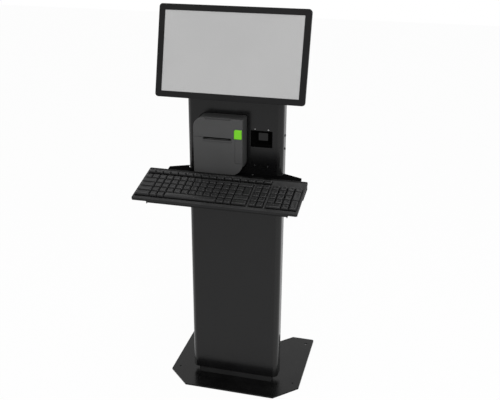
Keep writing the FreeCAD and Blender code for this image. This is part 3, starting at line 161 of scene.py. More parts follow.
def makeWear():
    # the bevelled normal turns away from the true one near an edge; that turn, broken up, is the wear
    group, start, end = newGroup("edgeWear", [("Radius", 0.0006), ("Amount", 0.5)],
                                 [("Mask", "Float"), ("Normal", "Vector")])
    bevelled = addNode(group, "Bevel", samples=4)
    feed(group, bevelled.inputs["Radius"], start.outputs["Radius"])
    turn = addNode(group, "VectorMath", operation="DOT_PRODUCT")
    feed(group, turn.inputs[0], bevelled.outputs[0])
    feed(group, turn.inputs[1], addNode(group, "NewGeometry").outputs["True Normal"])
    bend = ramp(group, sums(group, "SUBTRACT", 1.0, turn.outputs["Value"]), 0.01, 0.22)
    torn = ramp(group, noise(group, 160.0, 4.0), 0.42, 0.62)
    mask = sums(group, "MULTIPLY", sums(group, "MULTIPLY", bend, torn), start.outputs["Amount"], True)
    feed(group, end.inputs["Mask"], mask)
    feed(group, end.inputs["Normal"], bevelled.outputs[0])
    return group


def makeDust():
    # dust lies where the surface looks up, in soft clouds with small specks
    group, start, end = newGroup("settledDust", [("Amount", 0.2), ("Cloud", 9.0)], [("Mask", "Float")])
    up = ramp(group, facing(group)["Z"], 0.35, 0.95)
    cloud = ramp(group, noise(group, start.outputs["Cloud"], 5.0, roughness=0.65), 0.38, 0.72)
    speck = ramp(group, noise(group, 1400.0, 1.0), 0.66, 0.74, 0.55, 1.0)
    laid = sums(group, "MULTIPLY", sums(group, "MULTIPLY", up, cloud), speck)
    feed(group, end.inputs["Mask"], sums(group, "MULTIPLY", laid, start.outputs["Amount"], True))
    return group


def makeMarks():
    # wiped patches and finger marks, which only change how glossy a surface is
    group, start, end = newGroup("handMarks", [("Amount", 0.06), ("Patch", 22.0)], [("Change", "Float")])
    patch = ramp(group, noise(group, start.outputs["Patch"], 4.0), 0.3, 0.7, -0.5, 0.5)
    wiped = mapped(group, Rotation=(0.2, 0.5, 0.9), Scale=(60.0, 9.0, 24.0))
    streak = ramp(group, noise(group, 3.0, 3.0, wiped), 0.45, 0.75, 0.0, 0.6)
    feed(group, end.inputs["Change"],
         sums(group, "MULTIPLY", sums(group, "ADD", patch, streak), start.outputs["Amount"]))
    return group


def makeLines():
    # drawn or ground lines along one direction: noise squeezed across and stretched along it
    group, start, end = newGroup("drawnLines", [("Stretch", (400.0, 400.0, 12.0))],
                                 [("Height", "Float"), ("Tone", "Float")])
    line = noise(group, 4.0, 4.0, mapped(group, Scale=start.outputs["Stretch"]))
    feed(group, end.inputs["Height"], line)
    feed(group, end.inputs["Tone"], ramp(group, line, 0.35, 0.65))
    return group


surfaceGrain, edgeWear, settledDust = makeGrain(), makeWear(), makeDust()
handMarks, drawnLines = makeMarks(), makeLines()
print("shared effects made")


# finishes

def emptyMaterial(name):
    material = bpy.data.materials.new(name)
    material.use_nodes = True
    material.node_tree.nodes.clear()
    return material, material.node_tree


def newMaterial(name):
    material, tree = emptyMaterial(name)
    shader = addNode(tree, "BsdfPrincipled")
    feed(tree, addNode(tree, "OutputMaterial").inputs[0], shader.outputs[0])
    return material, tree, shader


def grey(level):
    return (level, level, level, 1.0)


def paint(colour, share=1.0):
    return tuple(part * share for part in colour) + (1.0,)


def bumpy(tree, shader, height, strength, reach, normal=None):
    # height in a Bump node, over a bevelled normal where one is given
    bump = addNode(tree, "Bump")
    bump.inputs["Strength"].default_value = strength
    bump.inputs["Distance"].default_value = reach
    feed(tree, bump.inputs["Height"], height)
    if normal is not None:
        feed(tree, bump.inputs["Normal"], normal)
    feed(tree, shader.inputs["Normal"], bump.outputs[0])


dustTone = grey(0.3)


def mouldedFinish(name, look):
    # colour: base, lifted a little by slow tone, then worn edges, then dust on top
    material, tree, shader = newMaterial(name)
    grain = place(tree, surfaceGrain, Size=look["grain"], Wave=look["wave"], Share=look["share"])
    wear = place(tree, edgeWear, Radius=look["edge"], Amount=look["wear"])
    dust = place(tree, settledDust, Amount=look["dust"], Cloud=look["cloud"])
    marks = place(tree, handMarks, Amount=look["marks"], Patch=look["patch"])
    base = paint(look["colour"])
    toned = blendColour(tree, grain.outputs["Tone"], base, paint(look["colour"], look["lift"]))
    rough = sums(tree, "ADD", marks.outputs["Change"], look["rough"])
    for axis, begin, full, tone in look.get("paintedLight", ()):
        # a stretch along one axis painted in a second tone, as painted light or shade: it sets in at begin,
        # and from full on it is all there
        along = ramp(tree, partsOf(tree, ownPlace(tree))[axis], begin, full)
        toned = blendColour(tree, along, toned, grey(tone))
    if "skirt" in look:
        # finger-polished tops and duller fronts; the fronts are painted dark as painted shade, and the flanks
        # paler as painted light against the shade between the keys: the mesh says which is which
        crown = addNode(tree, "Attribute", attribute_name="crown").outputs["Fac"]
        toned = blendColour(tree, ramp(tree, crown, 0.0, 0.5), paint(look["skirt"]), toned)
        toned = blendColour(tree, ramp(tree, crown, 0.5, 1.0), toned, paint(look["flank"]))
        rough = sums(tree, "ADD", rough, ramp(tree, crown, 0.0, 0.5, 0.25, 0.0))
    worn = blendColour(tree, wear.outputs["Mask"], toned, paint(look["worn"]))
    feed(tree, shader.inputs["Base Color"], blendColour(tree, dust.outputs["Mask"], worn, dustTone))
    rough = sums(tree, "ADD", rough, sums(tree, "MULTIPLY", dust.outputs["Mask"], 0.5), True)
    feed(tree, shader.inputs["Roughness"], rough)
    shader.inputs["Specular IOR Level"].default_value = look["gloss"]
    bumpy(tree, shader, grain.outputs["Height"], look["depth"], look["reach"], wear.outputs["Normal"])
    return material


def metalFinish(name, look):
    # bare or blackened metal with drawn lines, which change its tone, its gloss and its height
    material, tree, shader = newMaterial(name)
    lines = place(tree, drawnLines, Stretch=look["stretch"])
    wear = place(tree, edgeWear, Radius=look["edge"], Amount=look["wear"])
    dust = place(tree, settledDust, Amount=look["dust"])
    marks = place(tree, handMarks, Amount=look["marks"])
    base = paint(look["colour"])
    toned = blendColour(tree, lines.outputs["Tone"], base, paint(look["colour"], look["dull"]))
    worn = blendColour(tree, wear.outputs["Mask"], toned, paint(look["worn"]))
    feed(tree, shader.inputs["Base Color"], blendColour(tree, dust.outputs["Mask"], worn, dustTone))
    lined = sums(tree, "MULTIPLY", lines.outputs["Tone"], look["spread"])
    rough = sums(tree, "ADD", marks.outputs["Change"], lined)
    feed(tree, shader.inputs["Roughness"], sums(tree, "ADD", rough, look["rough"], True))
    shader.inputs["Metallic"].default_value = 1.0
    bumpy(tree, shader, lines.outputs["Height"], look["depth"], look["reach"], wear.outputs["Normal"])
    return material


def wearIt(material, *names):
    for name in names:
        for socket in nodes[name].material_slots:
            socket.material = material


# powder coat on the sheet metal: near black, lit mostly by what it mirrors
columnCoat = {"colour": (0.004, 0.004, 0.0042), "rough": 0.2, "gloss": 0.32, "grain": 0.0009, "wave": 0.007,
              "share": 0.6, "depth": 0.12, "reach": 0.0002, "edge": 0.0012, "wear": 0.10,
              "worn": (0.06, 0.06, 0.062), "lift": 1.18, "dust": 0.03, "cloud": 9.0, "marks": 0.05,
              "patch": 9.0}
wearIt(mouldedFinish("columnCoat", columnCoat), "rear_panel", "column_cap", "display_mount")
# painted highlight: the coat is painted paler round the cover's two long bends where they catch the light,
# the left bend more than the right
coverCoat = dict(columnCoat, paintedLight=(("X", 0.1225, 0.1275, 0.0105), ("X", -0.1265, -0.1315, 0.042)))
wearIt(mouldedFinish("coverCoat", coverCoat), "column_cover")
# the upright channel is the column's coat painted paler, as painted light against the shade under the cover
# where its foot shows
plinthCoat = dict(columnCoat, colour=(0.022, 0.022, 0.0222), gloss=0.3, marks=0.0)
wearIt(mouldedFinish("plinthCoat", plinthCoat), "upright_channel")

footCoat = dict(columnCoat, colour=(0.003, 0.003, 0.0031), rough=0.22, gloss=0.2, grain=0.0012, edge=0.001,
                wear=0.15, worn=(0.07, 0.07, 0.072), dust=0.02, marks=0.05)
wearIt(mouldedFinish("footCoat", footCoat), "base_plate")

# painted shade: the tray is near black and all but matt for the shade under the keyboard and display; the lip
# along its front is painted paler, as a painted reflection
shelfCoat = dict(columnCoat, colour=(0.002, 0.002, 0.0021), rough=0.4, gloss=0.0015, dust=0.0, wear=0.05,
                 worn=(0.02, 0.02, 0.02), paintedLight=(("Y", -0.296, -0.302, 0.029),))
wearIt(mouldedFinish("shelfCoat", shelfCoat), "keyboard_tray", "tray_brackets")

boxCoat = dict(columnCoat, rough=0.32, gloss=0.3, wear=0.25, dust=0.12, depth=0.2)
wearIt(mouldedFinish("boxCoat", boxCoat), "service_box", "service_door")

weldedSteel = {"colour": (0.16, 0.155, 0.15), "dull": 0.75, "rough": 0.42, "spread": 0.12,
               "stretch": (60.0, 300.0, 300.0), "depth": 0.25, "reach": 0.0001, "edge": 0.0006, "wear": 0.4,
               "worn": (0.4, 0.39, 0.38), "dust": 0.25, "marks": 0.12}
wearIt(metalFinish("weldedSteel", weldedSteel), "foot_plate")
boltSteel = dict(weldedSteel, colour=(0.38, 0.38, 0.37), rough=0.3, stretch=(300.0, 300.0, 60.0), dust=0.15)
wearIt(metalFinish("boltSteel", boltSteel), "foot_bolts")
cradleSteel = dict(weldedSteel, colour=(0.42, 0.42, 0.41), rough=0.34, stretch=(12.0, 200.0, 200.0), dust=0.2)
wearIt(metalFinish("cradleSteel", cradleSteel), "printer_bracket")
pinSteel = dict(boltSteel, colour=(0.5, 0.5, 0.49), rough=0.22, dust=0.05)
wearIt(metalFinish("pinSteel", pinSteel), "door_hinge_pin", "lid_hinge_pin")
lockChrome = dict(pinSteel, colour=(0.62, 0.62, 0.61), rough=0.1, depth=0.05, wear=0.2, marks=0.05)
wearIt(metalFinish("lockChrome", lockChrome), "lock_body")
lockBrass = dict(pinSteel, colour=(0.5, 0.36, 0.15), rough=0.25, worn=(0.7, 0.55, 0.28),
                 stretch=(300.0, 40.0, 300.0))
wearIt(metalFinish("lockBrass", lockBrass), "lock_cylinder")
# the print head is painted dark, as painted shade inside the slot it is seen through
headMetal = dict(pinSteel, colour=(0.05, 0.048, 0.045), rough=0.3, worn=(0.12, 0.11, 0.1), dust=0.0,
                 stretch=(10.0, 400.0, 400.0))
wearIt(metalFinish("headMetal", headMetal), "print_head")

displayPlastic = {"colour": (0.006, 0.006, 0.0062), "rough": 0.4, "gloss": 0.14, "grain": 0.0005,
                  "wave": 0.004, "share": 0.35, "depth": 0.18, "reach": 0.0002, "edge": 0.0006, "wear": 0.06,
                  "worn": (0.05, 0.05, 0.052), "lift": 1.18, "dust": 0.08, "cloud": 9.0, "marks": 0.07,
                  "patch": 18.0}
wearIt(mouldedFinish("displayPlastic", displayPlastic), "display_bezel", "display_back")

printerPlastic = dict(displayPlastic, colour=(0.057, 0.0572, 0.0575), rough=0.46, gloss=0.3, grain=0.0007,
                      depth=0.28, wear=0.12, worn=(0.1, 0.1, 0.1), dust=0.06, lift=1.07)
wearIt(mouldedFinish("printerPlastic", printerPlastic), "printer_case", "printer_lid")
trimPlastic = dict(printerPlastic, colour=(0.056, 0.0562, 0.0565), rough=0.4, depth=0.14)
wearIt(mouldedFinish("trimPlastic", trimPlastic), "printer_trim")
# the tear bar is painted like the case below it, and painted black from just under its teeth up, as painted
# shade inside the slot
barCoat = dict(printerPlastic, colour=(0.068, 0.0682, 0.0685), rough=0.4, gloss=0.06, depth=0.1, dust=0.0,
               paintedLight=(("Z", 0.8203, 0.8206, 0.003),))
wearIt(mouldedFinish("barCoat", barCoat), "tear_bar")
latchPlastic = dict(printerPlastic, colour=(0.012, 0.012, 0.012), rough=0.35, depth=0.1)
wearIt(mouldedFinish("latchPlastic", latchPlastic), "lid_latch")
platenRubber = dict(printerPlastic, colour=(0.012, 0.012, 0.013), rough=0.62, gloss=0.25, grain=0.0003,
                    depth=0.3, wear=0.0, dust=0.05)
wearIt(mouldedFinish("platenRubber", platenRubber), "platen_roller")
padRubber = dict(platenRubber, colour=(0.014, 0.014, 0.014), rough=0.72, dust=0.15)
wearIt(mouldedFinish("padRubber", padRubber), "cable_grommet", "keyboard_pads")

buttonGreen = dict(displayPlastic, colour=(0.17, 0.60, 0.012), rough=0.34, gloss=0.4, depth=0.1, wear=0.25,
                   worn=(0.36, 0.78, 0.10), dust=0.0, lift=1.06, marks=0.08)
wearIt(mouldedFinish("buttonGreen", buttonGreen), "release_button")

readerPlastic = dict(displayPlastic, colour=(0.0015, 0.0015, 0.0015), rough=0.45, gloss=0.02, dust=0.0)
wearIt(mouldedFinish("readerPlastic", readerPlastic), "reader_housing")

keyboardPlastic = dict(displayPlastic, colour=(0.012, 0.012, 0.0124), rough=0.42, gloss=0.22, grain=0.0006,
                       depth=0.25, dust=0.06, cloud=20.0, wear=0.08)
# the top's rear end and the rear half of the base are painted blacker, as painted shade under the keyboard's
# rear
keyboardTop = dict(keyboardPlastic, colour=(0.022, 0.022, 0.0223), gloss=0.06,
                   paintedLight=(("Y", -0.181, -0.1795, 0.0),))
keyboardBase = dict(keyboardPlastic, colour=(0.026, 0.026, 0.0262), gloss=0.006, dust=0.0,
                    paintedLight=(("Y", -0.236, -0.230, 0.002),))
wearIt(mouldedFinish("keyboardTop", keyboardTop), "keyboard_top")
wearIt(mouldedFinish("keyboardBase", keyboardBase), "keyboard_base")
guidePlastic = dict(keyboardPlastic, colour=(0.03, 0.03, 0.03), dust=0.1)
wearIt(mouldedFinish("guidePlastic", guidePlastic), "key_plate")
print("coats, metals and plastics done")


def filmFinish(name, look):
    # clear foil or a green board with fine printed tracks: a brick grid seen by its joints
    material, tree, shader = newMaterial(name)
    grid = addNode(tree, "TexBrick")
    feed(tree, grid.inputs["Vector"], ownPlace(tree))
    feed(tree, grid.inputs["Scale"], look["tracks"])
    feed(tree, grid.inputs["Mortar Size"], look["track"])
    for label, tone in (("Color1", "colour"), ("Color2", "second"), ("Mortar", "line")):
        feed(tree, grid.inputs[label], paint(look[tone]))
    marks = place(tree, handMarks, Amount=look["marks"])
    dust = place(tree, settledDust, Amount=look["dust"])
    dusty = blendColour(tree, dust.outputs["Mask"], grid.outputs["Color"], grey(look["dustGrey"]))
    feed(tree, shader.inputs["Base Color"], dusty)
    feed(tree, shader.inputs["Roughness"], sums(tree, "ADD", marks.outputs["Change"], look["rough"], True))
    bumpy(tree, shader, grid.outputs["Fac"], look["depth"], look["reach"])
    return material


circuitBoard = {"colour": (0.012, 0.07, 0.03), "second": (0.014, 0.085, 0.036), "line": (0.02, 0.13, 0.06),
                "tracks": 160.0, "track": 0.05, "rough": 0.35, "marks": 0.1, "dust": 0.15, "dustGrey": 0.35,
                "depth": 0.2, "reach": 0.00005}
wearIt(filmFinish("circuitBoard", circuitBoard), "display_board")
contactFilm = dict(circuitBoard, colour=(0.30, 0.31, 0.31), second=(0.28, 0.29, 0.29), line=(0.5, 0.5, 0.48),
                   tracks=60.0, track=0.03, rough=0.3, dust=0.1)
wearIt(filmFinish("contactFilm", contactFilm), "contact_sheet")


def paperFinish(name, look):
    # thermal paper: fibres stretched along the web, and on the roll's ends its turns as rings round the core
    material, tree, shader = newMaterial(name)
    fibre = place(tree, drawnLines, Stretch=look["fibre"])
    rings = addNode(tree, "TexWave", wave_type="RINGS", rings_direction="X")
    feed(tree, rings.inputs["Vector"], mapped(tree, Location=(0.0, -look["axis"][0], -look["axis"][1])))
    rings.inputs["Scale"].default_value = look["turns"]
    rings.inputs["Distortion"].default_value = look["unevenness"]
    ends = ramp(tree, sums(tree, "ABSOLUTE", facing(tree)["X"]), 0.7, 0.95)
    seen = sums(tree, "MULTIPLY", sums(tree, "MULTIPLY", rings.outputs["Fac"], ends), look["ringShare"])
    base = blendColour(tree, fibre.outputs["Tone"], paint(look["colour"]), paint(look["shade"]))
    feed(tree, shader.inputs["Base Color"], blendColour(tree, seen, base, paint(look["gap"])))
    feed(tree, shader.inputs["Roughness"], ramp(tree, fibre.outputs["Height"], 0.3, 0.7, 0.5, 0.7))
    bumpy(tree, shader, sums(tree, "ADD", fibre.outputs["Height"], seen), look["depth"], look["reach"])
    return material


receiptPaper = {"colour": (0.74, 0.74, 0.72), "shade": (0.70, 0.70, 0.68), "gap": (0.42, 0.40, 0.37),
                "fibre": (40.0, 220.0, 220.0), "axis": (-0.075, 0.788), "turns": 260.0, "unevenness": 0.4,
                "ringShare": 0.35, "depth": 0.25, "reach": 0.00008}
paper = paperFinish("receiptPaper", receiptPaper)
wearIt(paper, "paper_roll")


def glassFinish(name, look):
    # clear cover glass: smudges only in its roughness; shadows pass through it
    material, tree, shader = newMaterial(name)
    marks = place(tree, handMarks, Amount=look["marks"], Patch=look["patch"])
    feed(tree, shader.inputs["Roughness"], sums(tree, "ADD", marks.outputs["Change"], look["rough"], True))
    slow = ramp(tree, noise(tree, 6.0), 0.3, 0.7)
    tinted = blendColour(tree, slow, paint(look["colour"]), paint(look["tint"]))
    feed(tree, shader.inputs["Base Color"], tinted)
    shader.inputs["Metallic"].default_value = 0.0
    shader.inputs["Transmission Weight"].default_value = 1.0
    shader.inputs["IOR"].default_value = look["bend"]
    clear = addNode(tree, "BsdfTransparent")
    clear.inputs[0].default_value = paint(look["through"])
    path = addNode(tree, "LightPath")
    out = [node for node in tree.nodes if node.type == "OUTPUT_MATERIAL"][0]
    feed(tree, out.inputs[0], mixShaders(tree, path.outputs["Is Shadow Ray"], shader, clear))
    return material


screenGlass = {"colour": (0.965, 0.965, 0.965), "tint": (0.948, 0.948, 0.948), "through": (0.93, 0.93, 0.93),
               "rough": 0.0, "marks": 0.006, "patch": 30.0, "bend": 1.3}
clearGlass = glassFinish("screenGlass", screenGlass)


def panelFinish(name, look):
    # the picture panel at rest: an even light grey, a touch uneven over its width; only its front glows, as
    # painted light that makes the grey of the screen at rest
    material, tree, shader = newMaterial(name)
    slow = ramp(tree, noise(tree, 3.0, 1.0), 0.3, 0.7)
    front = ramp(tree, sums(tree, "MULTIPLY", facing(tree)["Y"], -1.0), 0.5, 0.8)
    picture = blendColour(tree, slow, paint(look["colour"]), paint(look["second"]))
    feed(tree, shader.inputs["Base Color"], blendColour(tree, front, paint(look["case"]), picture))
    marks = place(tree, handMarks, Amount=look["marks"])
    feed(tree, shader.inputs["Roughness"], sums(tree, "ADD", marks.outputs["Change"], look["rough"], True))
    shader.inputs["Specular IOR Level"].default_value = look["gloss"]
    glow = blendColour(tree, slow, grey(look["glow"]), grey(look["glow"] * look["evenness"]))
    feed(tree, shader.inputs["Emission Color"], blendColour(tree, front, grey(0.0), glow))
    shader.inputs["Emission Strength"].default_value = 1.0
    return material


picturePanel = {"colour": (0.06, 0.06, 0.06), "second": (0.057, 0.057, 0.057), "case": (0.09, 0.09, 0.088),
                "glow": 0.41, "evenness": 0.98, "rough": 0.5, "gloss": 0.1, "marks": 0.04}
wearIt(panelFinish("picturePanel", picturePanel), "lcd_panel")

# the reader's smoked cover takes its black from below and its gloss from the room; its pale rim from the
# strong edge wear is partly wear and partly a painted highlight
readerGlass = dict(readerPlastic, colour=(0.003, 0.003, 0.003), lift=4.0 / 3.0, rough=0.08, gloss=0.3,
                   grain=0.0006, wave=0.006, share=0.9, depth=0.03, reach=0.0001, edge=0.0004, wear=0.6,
                   worn=(0.05, 0.05, 0.05), marks=0.05, patch=60.0)
wearIt(mouldedFinish("readerGlass", readerGlass), "reader_window")
print("glass, film and paper done")


# new pieces

def shell(points, ringCount, around, loops):
    # faces of many equal ring stacks: ring k joins ring k+1 point by point, and a stack's first and last ring
    # each fan out from a pole; after all the rings come the low poles, then the high ones
    perStack = ringCount * around
    k, a = np.meshgrid(np.arange(ringCount - 1), np.arange(around), indexing="ij")
    nextA = (a + 1) % around
    quads = np.stack([k * around + a, k * around + nextA, (k + 1) * around + nextA, (k + 1) * around + a], -1)
    starts = np.arange(loops) * perStack
    faces = (quads.reshape(-1, 4)[None] + starts[:, None, None]).reshape(-1, 4).tolist()
    here = np.arange(around)
    after = (here + 1) % around
    poles = loops * perStack + np.arange(loops)
    for pair, edge, pole in (((after, here), starts, poles),
                             ((here, after), starts + perStack - around, poles + loops)):
        fan = np.stack(pair, -1)[None] + edge[:, None, None]
        pole = np.broadcast_to(pole[:, None, None], fan.shape[:2] + (1,))
        faces += np.concatenate([pole, fan], -1).reshape(-1, 3).tolist()
    return points, faces


def newPiece(name, points, faces, material, body, slot, *stoodFor):
    mesh = bpy.data.meshes.new(name)
    mesh.from_pydata(points.tolist(), [], faces)
    mesh.polygons.foreach_set("use_smooth", np.ones(len(faces), bool))
    mesh.materials.append(material)
    mesh.update()
    piece = bpy.data.objects.new(name, mesh)
    bpy.context.scene.collection.objects.link(piece)
    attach(piece, body)
    if stoodFor:
        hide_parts(*stoodFor)
    return piece


# sideFade and open set the painted light on the keys' flanks and on the front row's skirts
keyboard = {"origin": (-0.0026, -0.324, 0.69656), "slope": 12.2, "pitch": 20.75, "rowPitch": 20.8,
            "firstRow": 21.7, "functionRow": 130.0, "functionDepth": 15.5, "functionGap": 1.4,
            "functionKeys": 16, "navShare": 0.95, "mainLeft": -223.0, "navLeft": 94.41, "padLeft": 140.0,
            "gap": 0.9, "sink": 1.0, "rise": 6.2, "draft": 2.3, "widen": 1.25, "corner": 1.8, "dish": 0.8,
            "arch": 0.25, "lean": 1.0, "setBack": 1.6, "hollow": 0.4, "polished": 0.9, "sideFade": 0.4,
            "open": 0.5,
            # rings of the shoulder and the top: mm below the top, shares of the draft and of the top's width
            "rings": ((1.4, 0.5, 1.0), (0.85, 0.64, 1.0), (0.3, 0.94, 1.0),
                      (0.0, 1.35, 1.0), (0.0, 1.35, 0.72), (0.0, 1.35, 0.36))}


def keySpans():
    # every key as left, right, front, rear in mm on the keyboard's slope, by group
    look, spans = keyboard, {}

    def add(group, left, columns, row, tall=1):
        front = look["firstRow"] + (row - 0.5) * look["rowPitch"]
        rear = front + tall * look["rowPitch"]
        span = (left + columns[0] * look["pitch"], left + columns[1] * look["pitch"], front, rear)
        spans.setdefault(group, []).append(span)

    main, nav, pad, share = look["mainLeft"], look["navLeft"], look["padLeft"], look["navShare"]
    for c in range(13):
        add("number_keys", main, (c, c + 1), 4)
    add("backspace_key", main, (13, 15), 4)
    for row, group, last in ((3, "upper_row_keys", 14), (2, "home_row_keys", 14), (1, "lower_row_keys", 13)):
        add(group, main, (0, 2), row)
        for c in range(2, last):
            add(group, main, (c, c + 1), row)
    add("enter_key", main, (14, 15), 2, tall=2)
    add("lower_row_keys", main, (13, 15), 1)
    for columns in ((0, 2), (2, 3), (3, 4), (11, 12), (12, 13), (13, 15)):
        add("modifier_keys", main, columns, 0)
    add("space_bar", main, (4, 11), 0)
    for row in range(5):
        for c in range(2):
            add("navigation_keys", nav, (c * share, (c + 1) * share), row)
    for row in range(1, 5):
        for c in range(3):
            add("numpad_keys", pad, (c, c + 1), row)
    add("numpad_keys", pad, (3, 4), 4)
    add("numpad_plus_key", pad, (3, 4), 2, tall=2)
    add("numpad_enter_key", pad, (3, 4), 0, tall=2)
    add("numpad_zero_key", pad, (0, 2), 0)
    add("numpad_keys", pad, (2, 3), 0)
    step = (nav + 2 * share * look["pitch"] - main) / look["functionKeys"]
    half = (look["functionDepth"] + look["functionGap"]) / 2
    front, rear = look["functionRow"] - half, look["functionRow"] + half
    for k in range(look["functionKeys"]):
        group = "escape_key" if k == 0 else "function_keys"
        spans.setdefault(group, []).append((main + k * step, main + (k + 1) * step, front, rear))
    return spans


def onSlope(x, s, n):
    # a point x across, s up the keyboard's slope and n above it, all in mm, comes out in metres
    a = math.radians(keyboard["slope"])
    o = keyboard["origin"]
    return np.stack([o[0] + x * mm, o[1] + (s * math.cos(a) - n * math.sin(a)) * mm,
                     o[2] + (s * math.sin(a) + n * math.cos(a)) * mm], -1)


def roundedRing():
    # a rounded rectangle as corner signs (sx, sy), arc offsets (ax, ay) and a slide along the next side: each
    # corner has three points on its arc, and two more that slide a third and two thirds of the way on
    corner = np.repeat(np.arange(4), 5)
    step = np.tile(np.arange(5), 4)
    sx = np.array([1, -1, -1, 1])[corner].astype(float)
    sy = np.array([1, 1, -1, -1])[corner].astype(float)
    angle = (corner + np.minimum(step, 2) / 2) * math.pi / 2
    slide = np.where(step > 2, step - 2, 0) / 3.0
    return sx, sy, np.cos(angle), np.sin(angle), slide, corner


def keyCaps(spans, look):
    # each cap is a stack of rounded rectangles: tapered skirt, quarter-round shoulder and the top's rings;
    # with q the ring's share of the top's width, the dish sinks by dish * (1 - q * q), and a bar's top is
    # raised by arch * (1 - across * across) instead, across running from -1 to 1 over its depth
    x0, x1, y0, y1 = np.array(spans).T
    cx, cy = (x0 + x1) / 2, (y0 + y1) / 2
    hx, hy = (x1 - x0 - look["gap"]) / 2, (y1 - y0 - look["gap"]) / 2
    d, top = look["draft"], look["rise"]
    rings = [(-look["sink"], 0.0, 1.0)]
    rings += [(top - below, d * share, width) for below, share, width in look["rings"]]
    height, inset, shrink = np.array(rings).T[:, None, :, None]
    sx, sy, ax, ay, slide, corner = roundedRing()
    wide, deep = hx[:, None, None] - inset * look["widen"], hy[:, None, None] - inset
    x = sx * (wide - look["corner"]) + look["corner"] * ax
    y = sy * (deep - look["corner"]) + look["corner"] * ay
    # the two sliding points of each side lie evenly between this corner's arc and the next one's
    nextX = np.where((corner == 0) | (corner == 2), -x, x)
    nextY = np.where((corner == 1) | (corner == 3), -y, y)
    x = (x + (nextX - x) * slide) * shrink
    y = (y + (nextY - y) * slide) * shrink
    flatTop = (height >= top) * 1.0
    n = height - look["dish"] * (1.0 - shrink ** 2) * flatTop
    n = n + look["arch"] * (1.0 - (y / deep) ** 2) * flatTop
    # the top sits to the rear by lean, and its front edge by setBack more, so the front skirt is the longest
    rearward = look["lean"] + look["setBack"] * (0.5 - 0.5 * y / deep)
    y = y + rearward * (height + look["sink"]) / (top + look["sink"])
    points = onSlope(cx[:, None, None] + x, cy[:, None, None] + y, n).reshape(-1, 3)
    low = onSlope(cx, cy, np.full_like(cx, look["hollow"] - look["sink"]))
    middle = np.full_like(cx, top - look["dish"] + look["arch"])
    high = onSlope(cx, cy + look["lean"] + look["setBack"] / 2, middle)
    # crown is 0 on the front and rear skirts, which are painted dark as painted shade, 0.5 on the
    # finger-polished top and 1 on the flanks, which are painted paler as painted light, most at their foot;
    # the front row's skirts meet no row before them, so they are painted paler too, as painted light where no
    # row shades them
    flank = np.abs(ax) * (1.0 - look["sideFade"] * (height > 0.0))
    flank = np.maximum(flank, look["open"] * (y0 < look["firstRow"])[:, None, None])
    crown = np.where(height > top - look["polished"], 0.5, flank).reshape(-1)
    crown = np.concatenate([crown, np.zeros(len(cx)), np.full(len(cx), 0.5)])
    return shell(np.concatenate([points, low, high]), len(rings), len(sx), len(spans)) + (crown,)


# the skirt colour is painted shade on the keys' fronts and rears, and the flank colour painted light on their
# sides
keyPlastic = dict(displayPlastic, colour=(0.010, 0.010, 0.0103), skirt=(0.0045, 0.0045, 0.0046),
                  flank=(0.06, 0.06, 0.061), lift=1.15, rough=0.34, gloss=0.2, grain=0.0005, depth=0.2,
                  wear=0.0, edge=0.0002, dust=0.02, marks=0.14, patch=45.0)
keySkin = mouldedFinish("keyPlastic", keyPlastic)
for group, spans in keySpans().items():
    look = dict(keyboard, dish=0.0) if group == "space_bar" else dict(keyboard, arch=0.0)
    points, faces, crown = keyCaps(spans, look)
    cap = newPiece("cap_" + group, points, faces, keySkin, group + "_body", "key_plastic", group)
    cap.data.attributes.new("crown", "FLOAT", "POINT").data.foreach_set("value", crown)
print("key caps made")


def screwHeads(seats, look):
    # a button head on a polar grid: rings go from the rim at the seat over the dome to the lip of the socket,
    # down its six flats and to the middle; the socket's radius is flats / cos(angle from the flat's middle)
    around = look["around"]
    t = np.arange(around) * 2 * math.pi / around
    sector = (t + math.pi / 6) % (math.pi / 3) - math.pi / 6
    hexa = look["socket"] / np.cos(sector)
    even = np.ones(around)
    r, h = look["radius"], look["height"]
    rings = [(r * share * even, h * level) for share, level in look["dome"]]
    rings += [(hexa + wider, h - below) for wider, below in look["lip"]] + [(hexa, h * look["floor"])]
    radius = np.array([ring[0] for ring in rings])
    up = np.array([ring[1] for ring in rings])[:, None] * even
    points, poles = [], []
    for seat, out in seats:
        out = np.array(out) / np.linalg.norm(out)
        side = np.cross(out, (0.0, 0.0, 1.0) if abs(out[2]) < 0.9 else (0.0, 1.0, 0.0))
        side /= np.linalg.norm(side)
        third = np.cross(out, side)
        seat = np.array(seat)
        grid = np.stack([radius * np.cos(t), radius * np.sin(t), up], -1) @ np.array([side, third, out])
        points.append((seat + grid).reshape(-1, 3))
        poles.append((seat, seat + out * h * look["middle"]))
    lows, highs = np.array(poles).transpose(1, 0, 2)
    return shell(np.concatenate(points + [lows, highs]) * mm, len(rings), around, len(seats))


# dome rings: shares of the radius and the height; lip rings: mm outside the socket's flats and below the top
headShape = {"around": 24, "dome": ((1.0, 0.0), (1.0, 0.3), (0.93, 0.62), (0.76, 0.88)),
             "lip": ((0.35, 0.0), (0.05, 0.0), (0.0, 0.12)), "floor": 0.3, "middle": 0.25}
# which way the heads look
trayUp = (0.0, -0.1537, 0.9881)
displayBack = (0.0, 0.9659, -0.2588)
forward = (0.0, -1.0, 0.0)

blackScrew = dict(weldedSteel, colour=(0.05, 0.05, 0.052), rough=0.3, wear=0.5, worn=(0.25, 0.25, 0.25),
                  stretch=(200.0, 200.0, 200.0), dust=0.05, depth=0.1)
brightScrew = dict(boltSteel, colour=(0.42, 0.42, 0.42), rough=0.24, dust=0.0, depth=0.1)
blackSteel = metalFinish("blackScrew", blackScrew)
brightSteel = metalFinish("brightScrew", brightScrew)

